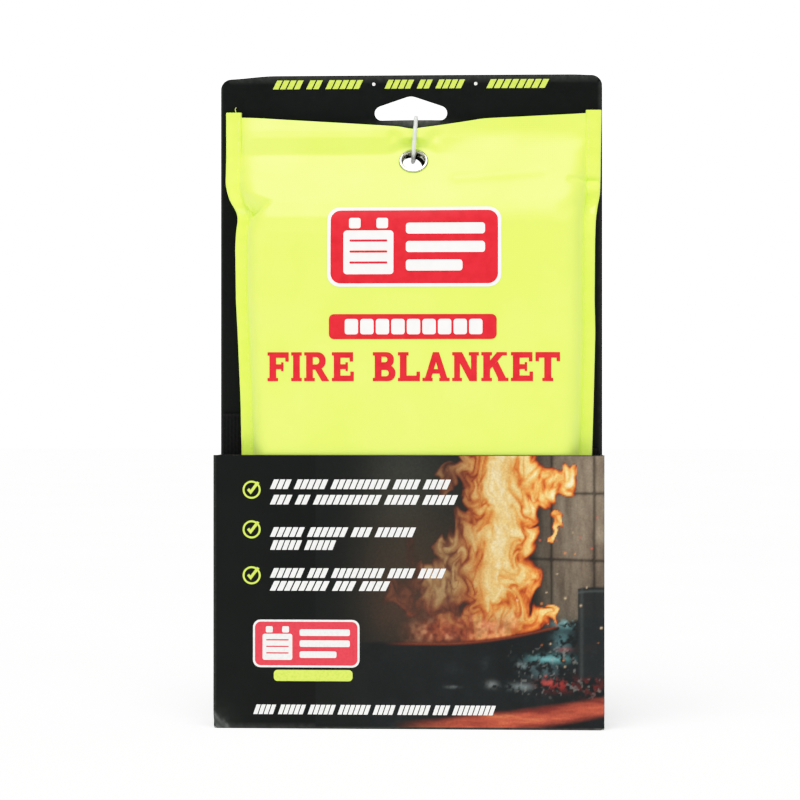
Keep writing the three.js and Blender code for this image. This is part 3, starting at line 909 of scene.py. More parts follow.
# Floor and front panel are one strip: out from the back panel's foot, round the front
# crease, up to the rim
def makeFloorAndFront():
    half, radius = board["halfWidth"], board["creaseRadius"]
    back, front = board["backY"], board["pocketFrontY"]
    path = bendPoints((back - radius, radius), radius, 0, -90)
    path += [(y, 0) for y in np.linspace(back - radius, front + radius, 14)[1:-1]]
    path += bendPoints((front + radius, radius), radius, 270, 180)
    path += [(front, z) for z in np.linspace(radius, board["pocketHeight"], 60)[1:]]
    strip = foldedStrip("card_floor_and_front", path, (-half, half), 0, 113, cardFaces, True)
    x, y, z = meshPoints(strip).T
    x = np.where(y < front + 2, nippedX(x, z), x)
    y = np.where(y < front + 0.5, y + frontLumps(x, z), y)
    # Grey where the board is worn at its corners and side edges, lighter grey along the bottom
    # fold, and a painted highlight along the slanted crease in the crushed left corner
    corner = np.exp(-np.hypot(np.abs(x) - half, z) / 3.0)
    fold = np.exp(-((z - 0.3) / 0.7) ** 2)
    creaseHighlight = np.exp(-(((x + z + 77.5) / 0.8) ** 2)) * (z < 8)
    wearAndSheen = 0.6 * corner + 0.22 * fold + 0.45 * creaseHighlight + 0.16 * (np.abs(x) > half - 1)
    giveWearAndSheen(strip, wearAndSheen * (y < front + 3))
    strip.data.vertices.foreach_set("co", (np.stack([x, y, z], axis=1) * 0.001).ravel())
    finishPiece(strip, onCard, ["front_panel", "pocket_floor"])


def frontLumps(x, z):
    return 0.10 * lumps(x, z, 42, 8)


def frontPanelY(x, z):
    return board["pocketFrontY"] + frontLumps(x, z)


# The bottom corners are knocked in
def nippedX(x, z):
    corner = ease(np.abs(x), board["halfWidth"] - board["nipReach"], board["halfWidth"]) ** 2
    return x - np.sign(x) * board["nip"] * np.exp(-np.maximum(z, 0) / 1.7) * corner


sideNames = {-1: "left", 1: "right"}


# Side wall and glue flap are one strip, folded in behind the front panel
def makeSide(side):
    half, radius = board["halfWidth"], board["creaseRadius"]
    flapY, backY = board["pocketFrontY"] + board["flapGap"], board["frontY"] + 0.45
    flapX = half - radius - board["flapWidth"]
    path = bendPoints((half - radius, backY - radius), radius, 90, 0)
    path += [(half, y) for y in np.linspace(backY - radius, flapY + radius, 14)[1:-1]]
    path += bendPoints((half - radius, flapY + radius), radius, 0, -90)
    path += [(x, flapY) for x in np.linspace(half - radius, flapX, 8)[1:]]
    path = [(side * x, y) for x, y in path]
    name, ends = sideNames[side], (radius, board["pocketHeight"] - 0.3)
    faces = [*cardFaces, finish["rawBoard"]]
    strip = foldedStrip(f"card_{name}_side", path, ends, 2, 60, faces, side > 0)
    strip.modifiers["wall"].material_offset = 2  # the unprinted side is grey
    finishPiece(strip, onCard, [f"{name}_pocket_side", f"{name}_glue_flap"])


makeBackPanel()
makeFloorAndFront()
for side in sideNames:
    makeSide(side)
print("board folded")


# The pouch: two sheets of coated cloth, bound at the sides, with a hemmed mouth below
pouch = {
    "bottom": 5.0,
    "leftEdge": [  # height, x of the outer edge
        (5, -73.6), (118, -73.9), (142, -74.4), (172, -75.7), (185, -76.4), (209, -76.7),
        (216, -76.3), (220.4, -75.7), (223.4, -76.2), (226, -77.6), (229, -79.5),
        (232.6, -80.8), (237, -81.7), (270, -81.8),
    ],
    "rightEdge": [
        (5, 79.1), (118, 79.3), (142, 80.0), (172, 80.7), (185, 80.4), (211.6, 80.6),
        (220.4, 81.0), (227, 82.0), (230.6, 82.8), (238, 83.2), (270, 83.8),
    ],
    "topEdge": [
        (-90, 266.9), (-74.5, 266.1), (-5, 261.5), (0.5, 260.3), (8, 261.4), (32, 265.3),
        (76, 267.3), (90, 267.7),
    ],
    "topRow": 267.5,
    "bindingWidth": (5.6, 6.9),  # at the mouth and at the ears
    "bindingThickness": 2.4,
    "leftEar": 268.3,
    "rightEar": 268.7,
    "sheet": 0.55,
    "frontY": -12.2,
    "seamY": -0.5,
    "topY": 8.8,
    "sideRound": 10.0,
    "leftLean": [  # height, depth: steep bright slope up to a fold line, then nearly upright
        (190, -12.2), (214, -12.2), (221, -11.2), (228, -8.0), (246, 3.0), (248.6, 4.7),
        (249.8, 5.0), (256.5, 4.0), (260, 4.9), (268, 8.4),
    ],
    "bulge": 1.0,
    "hemHeight": 10.0,
}

eyelet = {"x": 1.6, "z": 246.0, "hole": 4.8, "flange": 6.5, "segments": 72}

creases = [  # from x, z to x, z; half width; depth, where more than 0 goes in
    (-76, 240, -55, 236, 4.0, -0.7),
    (-66, 221, -64, 213, 3.0, 0.5),
    (84, 237, 70, 237.8, 1.3, 2.0),
    (80, 232.4, 77, 232.6, 2.2, -1.2),
    (80, 229, 69, 224, 4.2, 2.4),
    (20, 238.4, 57, 241.2, 2.2, 0.9),
    (14, 247, 46, 254, 5.0, -0.5),
    (-7, 257, -1.5, 252.4, 2.2, 1.3),
    (11, 257, 5.4, 252.6, 2.4, 1.3),
    (1.8, 262, 1.8, 254, 1.8, 0.7),
]

pinch = {
    "left": (-75.0, 234.0), "right": (-59.5, 228.6), "foot": (-69.0, 221.6),
    "fall": 0.76, "ledge": 2.6,
}

onPouch = ("pouch", "pouch_cloth")


def leftEdge(z):
    return alongTable(z, pouch["leftEdge"], 2.5) + 0.35


def rightEdge(z):
    return alongTable(z, pouch["rightEdge"], 2.5)


def sideEdge(side, z):
    return leftEdge(z) if side < 0 else rightEdge(z)


def topEdge(x):
    return alongTable(x, pouch["topEdge"], 3.0)


def creaseDepth(x, z):
    total = np.zeros_like(x)
    for x0, z0, x1, z1, width, depth in creases:
        run = (x1 - x0) ** 2 + (z1 - z0) ** 2
        share = np.clip(((x - x0) * (x1 - x0) + (z - z0) * (z1 - z0)) / run, 0, 1)
        gap = (x - x0 - share * (x1 - x0)) ** 2 + (z - z0 - share * (z1 - z0)) ** 2
        total += depth * np.exp(-gap / width**2) * (1 - 0.35 * share)
    return total


# A three-cornered pinch beside the left binding: its face looks down, so it lies in shade
def pinchDepth(x, z):
    (leftX, leftZ), (rightX, rightZ), (footX, footZ) = pinch["left"], pinch["right"], pinch["foot"]
    top = np.interp(x, [leftX, rightX], [leftZ, rightZ])
    low = np.interp(x, [leftX, footX, rightX], [leftZ, footZ, rightZ])
    fall = pinch["fall"] * np.where(
        z > low, np.clip(top - z, 0, None), (top - low) * (1 - ease(low - z, 0, pinch["ledge"]))
    )
    return fall * ((x > leftX) & (x < rightX))


def plainLean(z):
    return lerp(pouch["frontY"], 9.2, ease(z, 218, 262))


seatY = float(plainLean(eyelet["z"]))
seatSlope = float(plainLean(eyelet["z"] + 0.5) - plainLean(eyelet["z"] - 0.5))


def bindingWidth(z):
    low, high = pouch["bindingWidth"]
    return lerp(low, high, ease(z, 205, 255))


def seamGap(x, z):
    inset = bindingWidth(z)
    return np.minimum(x - leftEdge(z) - inset, rightEdge(z) - inset - x)


# 1 at the seam, falling away fast and then gently, as cloth does round a full edge
def roundOver(gap, reach):
    share = np.clip(1 - gap / reach, 0, 1)
    return 1 - np.sqrt(np.clip(1 - share**2.6, 0, 1))


# Outer face of the front cloth
def pouchFrontY(x, z):
    x, z = np.asarray(x, dtype=float), np.asarray(z, dtype=float)
    left = alongTable(z, pouch["leftLean"], 1.0)
    middle = lerp(left, plainLean(z), ease(x, 2, 34))
    upFree = ease(z, 122, 150) * (1 - ease(z, 200, 226))
    middle = middle - pouch["bulge"] * upFree * np.clip(1 - ((x - 1.6) / 72) ** 2, 0, 1)
    gap = seamGap(x, z)
    towardsSeam = roundOver(gap, pouch["sideRound"])
    atSeam = lerp(pouch["seamY"], pouch["topY"], ease(z, 210, 254))
    free = lerp(middle, atSeam, towardsSeam)
    soft = 0.30 * layeredLumps(x, z, 46, 21, 3) * (1 - 0.6 * towardsSeam) * ease(z, 112, 130)
    soft = soft + 0.22 * layeredLumps(x, z * 1.6, 17, 35, 2) * ease(z, 214, 232)
    pucker = 0.16 * np.sin(z * 0.84 + 2.2 * lumps(x * 0, z, 22, 5)) * np.exp(
        -np.abs(gap - 1.0) / 2.2
    )
    onCloth = np.where(
        x < 0, ease(gap, -0.5, 2.5), 1.0
    )  # on the right the creases cross the binding
    free = free + (creaseDepth(x, z) + pinchDepth(x, z)) * onCloth + soft + pucker
    seat = seatY + (z - eyelet["z"]) * seatSlope
    away = np.hypot(x - eyelet["x"], (z - eyelet["z"]) * math.hypot(1, seatSlope))
    return lerp(seat, free, ease(away, 7.3, 13.5))


# Inner face of the back cloth, which meets the front cloth above the blanket
def pouchBackY(x, z):
    x, z = np.asarray(x, dtype=float), np.asarray(z, dtype=float)
    towardsSeam = 1 - ease(seamGap(x, z), 0, 8)
    isOpen = 1 - ease(z, 208, 239.5)
    meeting = pouchFrontY(x, z) + pouch["sheet"] + 0.35
    apart = lerp(8.4, meeting, towardsSeam)
    return lerp(meeting, np.maximum(apart, meeting), isOpen)


# Columns and rows of the cloth, closer together at the seams and round the eyelet
def clothLines():
    spans = ((-73.8, -58, 0.75), (-58, -9, 1.25), (-9, 12, 0.55), (12, 64, 1.25), (64, 79.2, 0.75))
    rises = ((pouch["bottom"], 118, 3.5), (118, 208, 1.8), (208, pouch["topRow"], 0.62))
    columns = np.concatenate([np.arange(*span) for span in spans])
    return columns, np.concatenate([*(np.arange(*rise) for rise in rises), [pouch["topRow"]]])


def clothPlaces(columns, rows):
    c, r = np.meshgrid(columns, rows)
    leftShift = leftEdge(r) + 74.6
    rightShift = rightEdge(r) - 80.0
    x = c + ease(-c, 35, 70) * leftShift + ease(c, 40, 74) * rightShift
    z = r - (pouch["topRow"] - topEdge(x)) * ease(r, 252.5, pouch["topRow"])
    return x, z


def dropLoose(mesh):
    loose = [v for v in mesh.verts if not v.link_faces]
    bmesh.ops.delete(mesh, geom=loose, context="VERTS")


def clothSheet(name, faceY, outside, turned, hemRows, node):
    columns, rows = clothLines()
    rows = rows if hemRows is None else hemRows
    x, z = clothPlaces(columns, rows)
    points = np.stack([x, faceY(x, z) + outside, z], axis=2).reshape(-1, 3)
    faces = gridFaces(len(columns), len(rows), turned)
    rise = (points[:, 2] - eyelet["z"]) * math.hypot(1, seatSlope)
    away = np.hypot(points[:, 0] - eyelet["x"], rise)
    faces = faces[(away[faces] > eyelet["hole"] + 0.5).all(axis=1)]
    sheet = newPiece(name, points, faces, finish["cloth"])
    reshape(sheet, dropLoose)
    thicken(sheet, pouch["sheet"])
    finishPiece(sheet, onPouch, [node])


def makeCloth():
    sheet, low = pouch["sheet"], pouch["bottom"]
    hem = np.linspace(low + 0.3, low + pouch["hemHeight"], 6)
    clothSheet("pouch_front_cloth", pouchFrontY, 0, False, None, "pouch_front")
    clothSheet("pouch_back_cloth", pouchBackY, sheet, True, None, "pouch_back")
    clothSheet("pouch_front_hem", pouchFrontY, sheet + 0.08, False, hem, "front_mouth_hem")
    clothSheet("pouch_back_hem", pouchBackY, -0.08, True, hem, "back_mouth_hem")


# The ribbon round each side of the pouch
ribbon = {
    "seamBehind": 0.75,  # its middle lies this far behind the cloth's face at the seam
    "stitchInset": 1.3,
    "section": [  # across from the outer edge as a share of the width, depth from the middle
        (1, -0.55), (0.95, -0.92), (0.75, -1.05), (0.45, -1.0), (0.26, -1.04), (0.1, -0.92),
        (0.02, -0.5), (0, 0), (0.02, 0.5), (0.1, 0.92), (0.26, 1.04), (0.45, 1.0),
        (0.75, 1.05), (0.95, 0.92), (1, 0.55),
    ],
    "stitch": {"pitch": 3.0, "length": 2.5, "thickness": 0.32},
}


# Ribbon folded over each side of the pouch, standing up as an ear above the cloth
def makeBinding(side):
    name = sideNames[side]
    top = pouch[f"{name}Ear"]
    low = np.arange(pouch["bottom"], 208, 2.0)
    heights = np.concatenate([low, np.arange(208, top - 0.3, 0.9), [top]])
    points = []
    for z, x in zip(heights, sideEdge(side, heights)):
        width = bindingWidth(z)
        seam = np.array(x - side * width)
        middle = float(pouchFrontY(seam, np.array(z))) + ribbon["seamBehind"]
        wobble = 0.12 * math.sin(z * 0.9) + 0.10 * math.sin(z * 0.37 + 1)
        for across, depth in ribbon["section"]:
            lean = 0.25 * wobble * (across > 0.8)
            y = middle + depth * (pouch["bindingThickness"] / 2)
            points.append((x - side * (across * width + lean), y, z))
    rows, count = len(heights), len(ribbon["section"])
    walls, ends = sweptFaces(rows, count), sweptEnds(rows, count)
    if side < 0:
        walls, ends = walls[:, [1, 0, 3, 2]], [end[::-1] for end in ends]
    binding = newPiece(f"pouch_{name}_binding", points, walls.tolist() + ends, finish["binding"])
    finishPiece(binding, onPouch, [f"{name}_binding"])


def makePouchStitches():
    paths, thick = [], pouch["bindingThickness"]
    for side in sideNames:
        z = np.arange(6, 266, 1.0)
        width = bindingWidth(z)
        x = sideEdge(side, z) - side * (width - ribbon["stitchInset"])
        seam = sideEdge(side, z) - side * width
        front = pouchFrontY(seam, z) + ribbon["seamBehind"] - thick / 2 - 0.02
        for y in (front, front + thick + 0.04):
            paths.append(np.stack([x, y, z], axis=1))
    x = np.arange(-66.5, 73, 1.0)
    z = np.full_like(x, pouch["bottom"] + pouch["hemHeight"] - 1.2)
    for y in (pouchFrontY(x, z) - 0.05, pouchBackY(x, z) + pouch["sheet"] + 0.05):
        paths.append(np.stack([x, y, z], axis=1))
    stitchPiece("pouch_stitches", paths, ribbon["stitch"], finish["yellowThread"], onPouch)


def makeStrayThread():
    y = pouch["topY"] + 0.4
    route = [(-77.2, y, 266.5), (-77.0, y - 0.5, 268.4), (-77.3, y - 0.9, 269.6)]
    route = smoothRoute([*route, (-76.9, y - 0.8, 270.6)], 5)
    thread = tube("pouch_stray_thread", route, 0.14, 6, finish["yellowThread"])
    finishPiece(thread, onPouch)


makeCloth()
for side in sideNames:
    makeBinding(side)
makePouchStitches()
makeStrayThread()
print("pouch sewn")


# A ring turned round the eyelet's axis from (radius, height) pairs, height out of the cloth's face
def turnedRing(name, profile, node):
    lean, segments = math.atan(seatSlope), eyelet["segments"]
    points = []
    for a in np.arange(segments) * 2 * math.pi / segments:
        for radius, height in profile:
            side, up = radius * math.cos(a), radius * math.sin(a)
            y = seatY + up * math.sin(lean) - height * math.cos(lean)
            z = eyelet["z"] + up * math.cos(lean) + height * math.sin(lean)
            points.append((eyelet["x"] + side, y, z))
    metal = newPiece(name, points, sweptFaces(segments, len(profile), True), finish["steel"])
    turnOutwards(metal)
    finishPiece(metal, ("pouch", "eyelet_metal"), [node])


def makeEyelet():
    bore, rim = eyelet["hole"], eyelet["flange"]
    backAt = -(2 * pouch["sheet"] + 0.35) * math.cos(math.atan(seatSlope)) - 0.25
    arc = lambda x, z, wide, high, angles: [
        (x + wide * math.cos(math.radians(a)), z + high * math.sin(math.radians(a))) for a in angles
    ]
    crown = arc(rim - 0.55, 0.28, 0.55, 0.5, range(-60, 91, 25))
    crown += [(rim - 1.05, 0.86), (bore + 0.75, 0.82), (bore + 0.35, 0.62), (bore + 0.08, 0.25)]
    barrel = [(bore, -0.3), (bore, backAt - 0.5), (bore + 0.35, backAt - 0.5)]
    seat = [(bore + 0.38, -0.3), (bore + 0.6, 0.0), (rim - 0.7, 0.02)]
    turnedRing("eyelet_ring", crown + barrel + seat, "eyelet")
    curl = arc(bore + 0.4, backAt - 0.45, 0.28, 0.28, range(180, 361, 30))
    disc = [(rim - 0.3, backAt - 0.3), (rim, backAt - 0.1), (rim - 0.05, backAt + 0.08)]
    disc.append((bore + 0.42, backAt + 0.08))
    turnedRing("eyelet_back_washer", curl + disc, "eyelet_washer")


makeEyelet()
print("eyelet set")


# The loop of nylon that holds pouch and card together, threaded through eyelet, hole and slot
loop = {
    "radius": 0.92,
    "route": [
        (2.3, 15.6, 258.4), (2.3, 15.2, 261.5), (2.3, 13.9, 264.4), (2.3, 12.7, 265.75),
        (2.3, 11.5, 266.05), (2.3, 10.4, 265.5), (2.3, 9.2, 264.2), (2.3, 7.2, 262.2),
        (2.15, 5.0, 259.8), (2.0, 4.2, 256.5), (1.8, 3.7, 253.2), (1.65, 3.6, 250.9),
        (1.5, 4.7, 248.9), (1.2, 8.0, 247.5), (0.9, 12.0, 246.6), (1.0, 15.2, 247.2),
        (1.7, 15.6, 249.6), (2.2, 15.6, 252.2),
    ],
    "lock": ((0.4, 4.2), (14.3, 17.7), (252.6, 258.0)),
    "lockBevel": 0.6,
}


def bevelledBox(name, corners, bevel, material):
    box = bmesh.new()
    bmesh.ops.create_cube(box, size=1)
    for v in box.verts:
        spot = [low + (c + 0.5) * (high - low) for c, (low, high) in zip(v.co, corners)]
        v.co = Vector([place * 0.001 for place in spot])
    bmesh.ops.bevel(
        box, geom=box.edges[:], offset=bevel * 0.001, segments=4, profile=0.5, affect="EDGES"
    )
    mesh = bpy.data.meshes.new(name)
    box.to_mesh(mesh)
    box.free()
    mesh.materials.append(material)
    mesh.polygons.foreach_set("use_smooth", [True] * len(mesh.polygons))
    return putInScene(name, mesh)


def makeLoop():
    home, nylon = ("card", "clear_plastic"), finish["nylon"]
    strand = tube("loop_strand_nylon", smoothRoute(loop["route"], 6), loop["radius"], 14, nylon)
    finishPiece(strand, home, ["loop_strand"])
    block = bevelledBox("loop_lock_nylon", loop["lock"], loop["lockBevel"], nylon)
    finishPiece(block, home, ["loop_lock"])


makeLoop()
print("loop threaded")


# The pull tapes, sewn under the blanket and folded up behind the pouch
tape = {
    "width": 25.0,
    "thickness": 1.0,
    "sewn": {-1: -49.3, 1: 52.5},  # x of each tape's middle where it is sewn on
    "reach": {-1: 21.4, 1: 18.2},  # how far it swings outwards behind the pouch
    "fold": {-1: 135.8, 1: 120.6},  # height of its fold
    "innerY": 10.05,
    "outerY": 11.55,
    "topPlyZ": 3.75,
    "lowPlyZ": 2.25,
    "endY": -2.0,
    "swingHeight": 95.0,
    "turn": 0.8,
    "tack": {"pitch": 2.2, "length": 2.0, "thickness": 0.5},
}


def tapeRoute(side):
    innerY, outerY, fold, turn = tape["innerY"], tape["outerY"], tape["fold"][side], tape["turn"]
    top, low, bend = tape["topPlyZ"], tape["lowPlyZ"], (outerY - innerY) / 2
    route = [(y, top) for y in np.linspace(tape["endY"], innerY - turn, 8)]
    route += bendPoints((innerY - turn, top + turn), turn, -90, 0, 5)[1:]
    route += [(innerY, z) for z in np.linspace(5.5, fold - bend - 0.55, 80)]
    route += bendPoints((innerY + bend, fold - bend - 0.5), bend, 180, 0, 9)[1:-1]
    route += [(outerY, z) for z in np.linspace(fold - bend - 0.55, 4.2, 80)]
    route += bendPoints((outerY - turn, low + turn), turn, 0, -90, 5)
    route += [(y, low) for y in np.linspace(outerY - 1.2, tape["endY"], 8)]
    return np.array(route)


# Half a tape's outline across: thin selvedges and a shallow rib on every other thread
def tapeSection():
    half = tape["width"] / 2
    section = [(-half, 0), (-half + 0.25, 0.75), (-half + 0.8, 1)]
    ribs = np.linspace(-half + 1.6, half - 1.6, 13)
    section += [(x, 1 - 0.1 * (k % 2)) for k, x in enumerate(ribs)]
    section += [(half - 0.8, 1), (half - 0.25, 0.75), (half, 0)]
    return section + [(x, -depth) for x, depth in section[-2:0:-1]]


# One map position for each point of the mesh
def giveMap(piece, maps):
    layer = piece.data.uv_layers.new(name="cloth")
    corners = np.zeros(len(piece.data.loops), dtype=int)
    piece.data.loops.foreach_get("vertex_index", corners)
    layer.data.foreach_set("uv", np.asarray(maps, dtype=float)[corners].ravel())


def makeTape(side):
    name, route, section = sideNames[side], tapeRoute(side), tapeSection()
    way = np.gradient(route, axis=0)
    way /= np.linalg.norm(way, axis=1)[:, None]
    thick = tape["thickness"] / 2
    points, maps = [], []
    for (y, z), (wayY, wayZ), length in zip(route, way, alongRoute(route)):
        swing = side * tape["reach"][side] * float(ease(z, 4.3, tape["swingHeight"]))
        for x, depth in section:
            out, up = wayZ * depth * thick, wayY * depth * thick
            points.append((tape["sewn"][side] + swing + x, y - out, z + up))
            maps.append((x * 0.001, length * 0.001))
    rows, count = len(route), len(section)
    faces = sweptFaces(rows, count)[:, [0, 3, 2, 1]].tolist()
    faces += [end[::-1] for end in sweptEnds(rows, count)]
    webbing = newPiece(f"{name}_webbing_tape", points, faces, finish["webbing"])
    giveMap(webbing, maps)
    turnOutwards(webbing)
    finishPiece(webbing, ("blanket", "webbing"), [f"{name}_pull_tape"])
    return webbing


# Box-and-cross sewing under the folded cloth, where each tape is held
def makeTacks(side):
    x0, x1 = tape["sewn"][side] - 9.0, tape["sewn"][side] + 9.0
    y0, y1, z = -0.5, 6.0, 1.45
    a, b, c, d = (x0, y0, z), (x1, y0, z), (x1, y1, z), (x0, y1, z)
    paths = [[a, b], [b, c], [c, d], [d, a], [a, c], [b, d]]
    name, home = sideNames[side], ("blanket", "thread")
    nodes = [f"{name}_tape_tack"]
    stitchPiece(f"{name}_tack_stitches", paths, tape["tack"], finish["blackThread"], home, nodes)


tapes = [makeTape(side) for side in sideNames]
for side in sideNames:
    makeTacks(side)
print("tapes sewn on")


# The blanket: one square of glass cloth, folded into eight across and five up
blanket = {
    "lowX": -62.8, "highX": 66.0, "lowZ": 4.75, "highZ": 206.7,
    "middleY": -1.5, "thickness": 18.8, "across": 8, "upward": 5,
    "cloth": 0.32, "flat": (1.0, 1.0), "seed": 12,
}


# A line folded to and fro between two ends: positions, depths and the length run so far
def foldedLine(low, high, count, pitch, steps, seed, loose):
    rng = np.random.default_rng(seed)
    spots, depths = [], []
    ends = [
        (low + pitch / 2 + rng.uniform(0, loose), high - pitch / 2 - rng.uniform(0, loose))
        for _ in range(count + 1)
    ]
    for k in range(count):
        depth = (k + 0.5 - count / 2) * pitch
        start, end = (ends[k][0], ends[k + 1][1]) if k % 2 == 0 else (ends[k][1], ends[k + 1][0])
        spots += list(np.linspace(start, end, steps))
        depths += [depth] * steps
        if k < count - 1:
            way = 1 if k % 2 == 0 else -1
            for a in np.linspace(0, math.pi, 7)[1:-1]:
                spots.append(end + way * math.sin(a) * pitch / 2)
                depths.append(depth + (1 - math.cos(a)) * pitch / 2)
        ends[k + 1] = (end, end) if k + 1 < count else ends[k + 1]
    spots, depths = np.array(spots), np.array(depths)
    lengths = np.concatenate([[0], np.cumsum(np.hypot(np.diff(spots), np.diff(depths)))])
    return spots, depths, lengths


def makeBlanket():
    across, upward, lowX, highX = [blanket[k] for k in ("across", "upward", "lowX", "highX")]
    upPitch = blanket["thickness"] / upward
    sidePitch = upPitch / across * 0.97
    lowZ, highZ, seed = blanket["lowZ"], blanket["highZ"], blanket["seed"]
    x, t, u = foldedLine(lowX, highX, across, sidePitch, 11, seed, 1.6)
    z, y, v = foldedLine(lowZ, highZ, upward, upPitch, 28, seed + 1, 0.0)
    dz, dy = np.gradient(z), np.gradient(y)
    size = np.hypot(dz, dy)
    gridX = np.tile(x, (len(z), 1))
    gridY = blanket["middleY"] + y[:, None] + (dz / size)[:, None] * t[None, :]
    gridZ = z[:, None] + (-dy / size)[:, None] * t[None, :]
    edge = np.minimum(gridX - lowX, highX - gridX)
    squash = 1 - 0.16 * np.exp(-edge / 5)  # the stack is thinner at its folds
    gridY = blanket["middleY"] + (gridY - blanket["middleY"]) * squash
    points = np.stack([gridX, gridY, gridZ], axis=2).reshape(-1, 3)
    cloth = newPiece("glass_cloth_blanket", points, gridFaces(len(x), len(z)), finish["glass"])
    giveMap(cloth, np.stack(np.meshgrid(u * 0.001, v * 0.001), axis=2).reshape(-1, 2))
    wall = thicken(cloth, blanket["cloth"])
    wall.offset, wall.use_even_offset = 0, False
    finishPiece(cloth, ("blanket", "glass_cloth"), ["folded_blanket"])


makeBlanket()
print("blanket folded")


def printOn(name, shapes, ink, home, faceY, proud):
    finishPiece(standShapes(name, shapes, 1.6, faceY, ink, proud), home)


# A plain sign: rounded red tile with a white line round it, and in white a square of cloth
# with its two pull tabs and three bars
def makeSign(prefix, box, inks, home, faceY, proud):
    lowX, highX, lowZ, highZ = box
    k = (highZ - lowZ) / 32  # the sign is drawn 32 high
    left, middle, line = lowX + 6.5 * k, (lowZ + highZ) / 2, 1.3 * k
    border = roundedBox(lowX, highX, lowZ, highZ, 5 * k)
    tile = roundedBox(lowX + line, highX - line, lowZ + line, highZ - line, 4 * k)
    marks = [roundedBox(left, left + 20 * k, lowZ + 5 * k, highZ - 9.5 * k, 1.4 * k)]
    for x in (2.2, 13.2):
        lowTab, highTab = left + x * k, left + (x + 4.6) * k
        marks.append(roundedBox(lowTab, highTab, highZ - 8.6 * k, highZ - 4.4 * k, 0.9 * k))
    for z, cut in ((5.2, 0), (-2.2, 0), (-9.6, 9)):
        lowBar, highBar = middle + z * k, middle + (z + 4.4) * k
        end = highX - 6.5 * k - cut * k
        marks.append(roundedBox(left + 25 * k, end, lowBar, highBar, 1.2 * k))
    folds = [
        roundedBox(
            left + 2.4 * k, left + 17.6 * k, lowZ + (5 + a) * k, lowZ + (5.9 + a) * k, 0.4 * k
        )
        for a in (4.2, 8.6, 13.0)
    ]
    layers = (("white", [border]), ("red", [tile]), ("marks", marks), ("folds", folds))
    for rank, (part, loops) in enumerate(layers):
        shapes, ink = [[loop] for loop in loops], inks[rank % 2]
        printOn(f"{prefix}_sign_{part}", shapes, ink, home, faceY, proud + 0.03 * rank)


letter = {"height": 13.0, "stem": 3.1, "serif": 1.5, "overhang": 0.9, "gap": 1.1, "space": 7.6}


def flatBox(lowX, highX, lowZ, highZ):
    return [(lowX, lowZ), (highX, lowZ), (highX, highZ), (lowX, highZ)]


# A box with its two right-hand corners rounded
def bowl(lowX, highX, lowZ, highZ, radius):
    arc = lambda z, start: [
        (
            highX - radius + radius * math.cos(math.radians(start + 18 * k)),
            z + radius * math.sin(math.radians(start + 18 * k)),
        )
        for k in range(6)
    ]
    return [(lowX, lowZ), *arc(lowZ + radius, -90), *arc(highZ - radius, 0), (lowX, highZ)]


# Plain block letters with slab feet: each is a list of shapes, and its width
def letterShapes():
    h, o, f = letter["height"], letter["overhang"], letter["serif"]
    inner = o + letter["stem"]
    stem = [
        [flatBox(o, inner, 0, h)], [flatBox(0, inner + o, 0, f)], [flatBox(0, inner + o, h - f, h)]
    ]
    topArm = [[flatBox(o, 9.4, h - 2.5, h)], [flatBox(8.2, 9.8, h - 4.2, h)]]
    middleArm = [[flatBox(o, 7.2, 5.4, 7.6)], [flatBox(6.3, 7.4, 4.5, 8.5)]]
    bottomArm = [[flatBox(o, 9.6, 0, 2.5)], [flatBox(8.5, 10.1, 0, 4.3)]]
    return {
        "F": (stem + topArm + middleArm, 9.8),
        "I": (stem, inner + o),
        "R": (
            stem + [
                [bowl(o, 9.9, 5.2, h, 3.6), bowl(inner, 6.9, 7.5, 10.8, 1.4)],
                [[(4.4, 6.4), (8.1, 0), (11.6, 0), (7.6, 6.4)]],
            ],
            11.6,
        ),
        "E": (stem + topArm + middleArm + bottomArm, 10.1),
        "B": (
            stem
            + [[bowl(o, 9.7, 6.2, h, 3.2), bowl(inner, 6.7, 8.5, 10.9, 1.1)]]
            + [[bowl(o, 10.4, 0, 7.2, 3.4), bowl(inner, 7.3, 2.2, 5.0, 1.3)]],
            10.4,
        ),
        "L": (stem + bottomArm, 10.1),
        "A": (
            [
                [[(1.0, 0.8), (3.9, 0.8), (7.5, h), (4.8, h)]],
                [[(4.9, h), (8.5, 0.8), (11.6, 0.8), (7.6, h)]],
            ]
            + [[flatBox(3.2, 9.2, 3.4, 5.4)], [flatBox(0, 4.7, 0, f)], [flatBox(7.7, 12.5, 0, f)]],
            12.5,
        ),
        "N": (
            [
                [flatBox(o, o + 2.7, 0, h)], [flatBox(0, o + 3.6, 0, f)], [flatBox(0, 3, h - f, h)],
                [flatBox(8.6, 11.3, 0, h)],
            ]
            + [[flatBox(7.6, 12.2, h - f, h)], [[(o, h), (7.9, 0), (11.3, 0), (o + 3.6, h)]]],
            12.2,
        ),
        "K": (
            stem
            + [
                [[(3.4, 4.6), (11.0, h), (7.2, h), (3.4, 8.6)]],
                [[(5.0, 6.6), (8.3, 0), (12.0, 0), (7.5, 8.9)]],
            ]
            + [[flatBox(6.9, 11.7, h - f, h)], [flatBox(7.6, 12.4, 0, f)]],
            12.4,
        ),
        "T": (
            [[flatBox(4.0, 7.2, 0, h)], [flatBox(3.1, 8.1, 0, f)], [flatBox(0.3, 10.9, h - 2.5, h)]]
            + [[flatBox(0, 1.6, h - 4.1, h)], [flatBox(9.6, 11.2, h - 4.1, h)]],
            11.2,
        ),
    }


# Sets a line of letters between two ends
def setLine(text, lowX, highX, lowZ, highZ):
    drawn, placed, at = letterShapes(), [], 0.0
    for mark in text:
        if mark == " ":
            at += letter["space"]
            continue
        shapes, width = drawn[mark]
        placed += [[[(at + x, z) for x, z in loop] for loop in shape] for shape in shapes]
        at += width + letter["gap"]
    across, up = (highX - lowX) / (at - letter["gap"]), (highZ - lowZ) / letter["height"]
    return [
        [[(lowX + x * across, lowZ + z * up) for x, z in loop] for loop in shape]
        for shape in placed
    ]


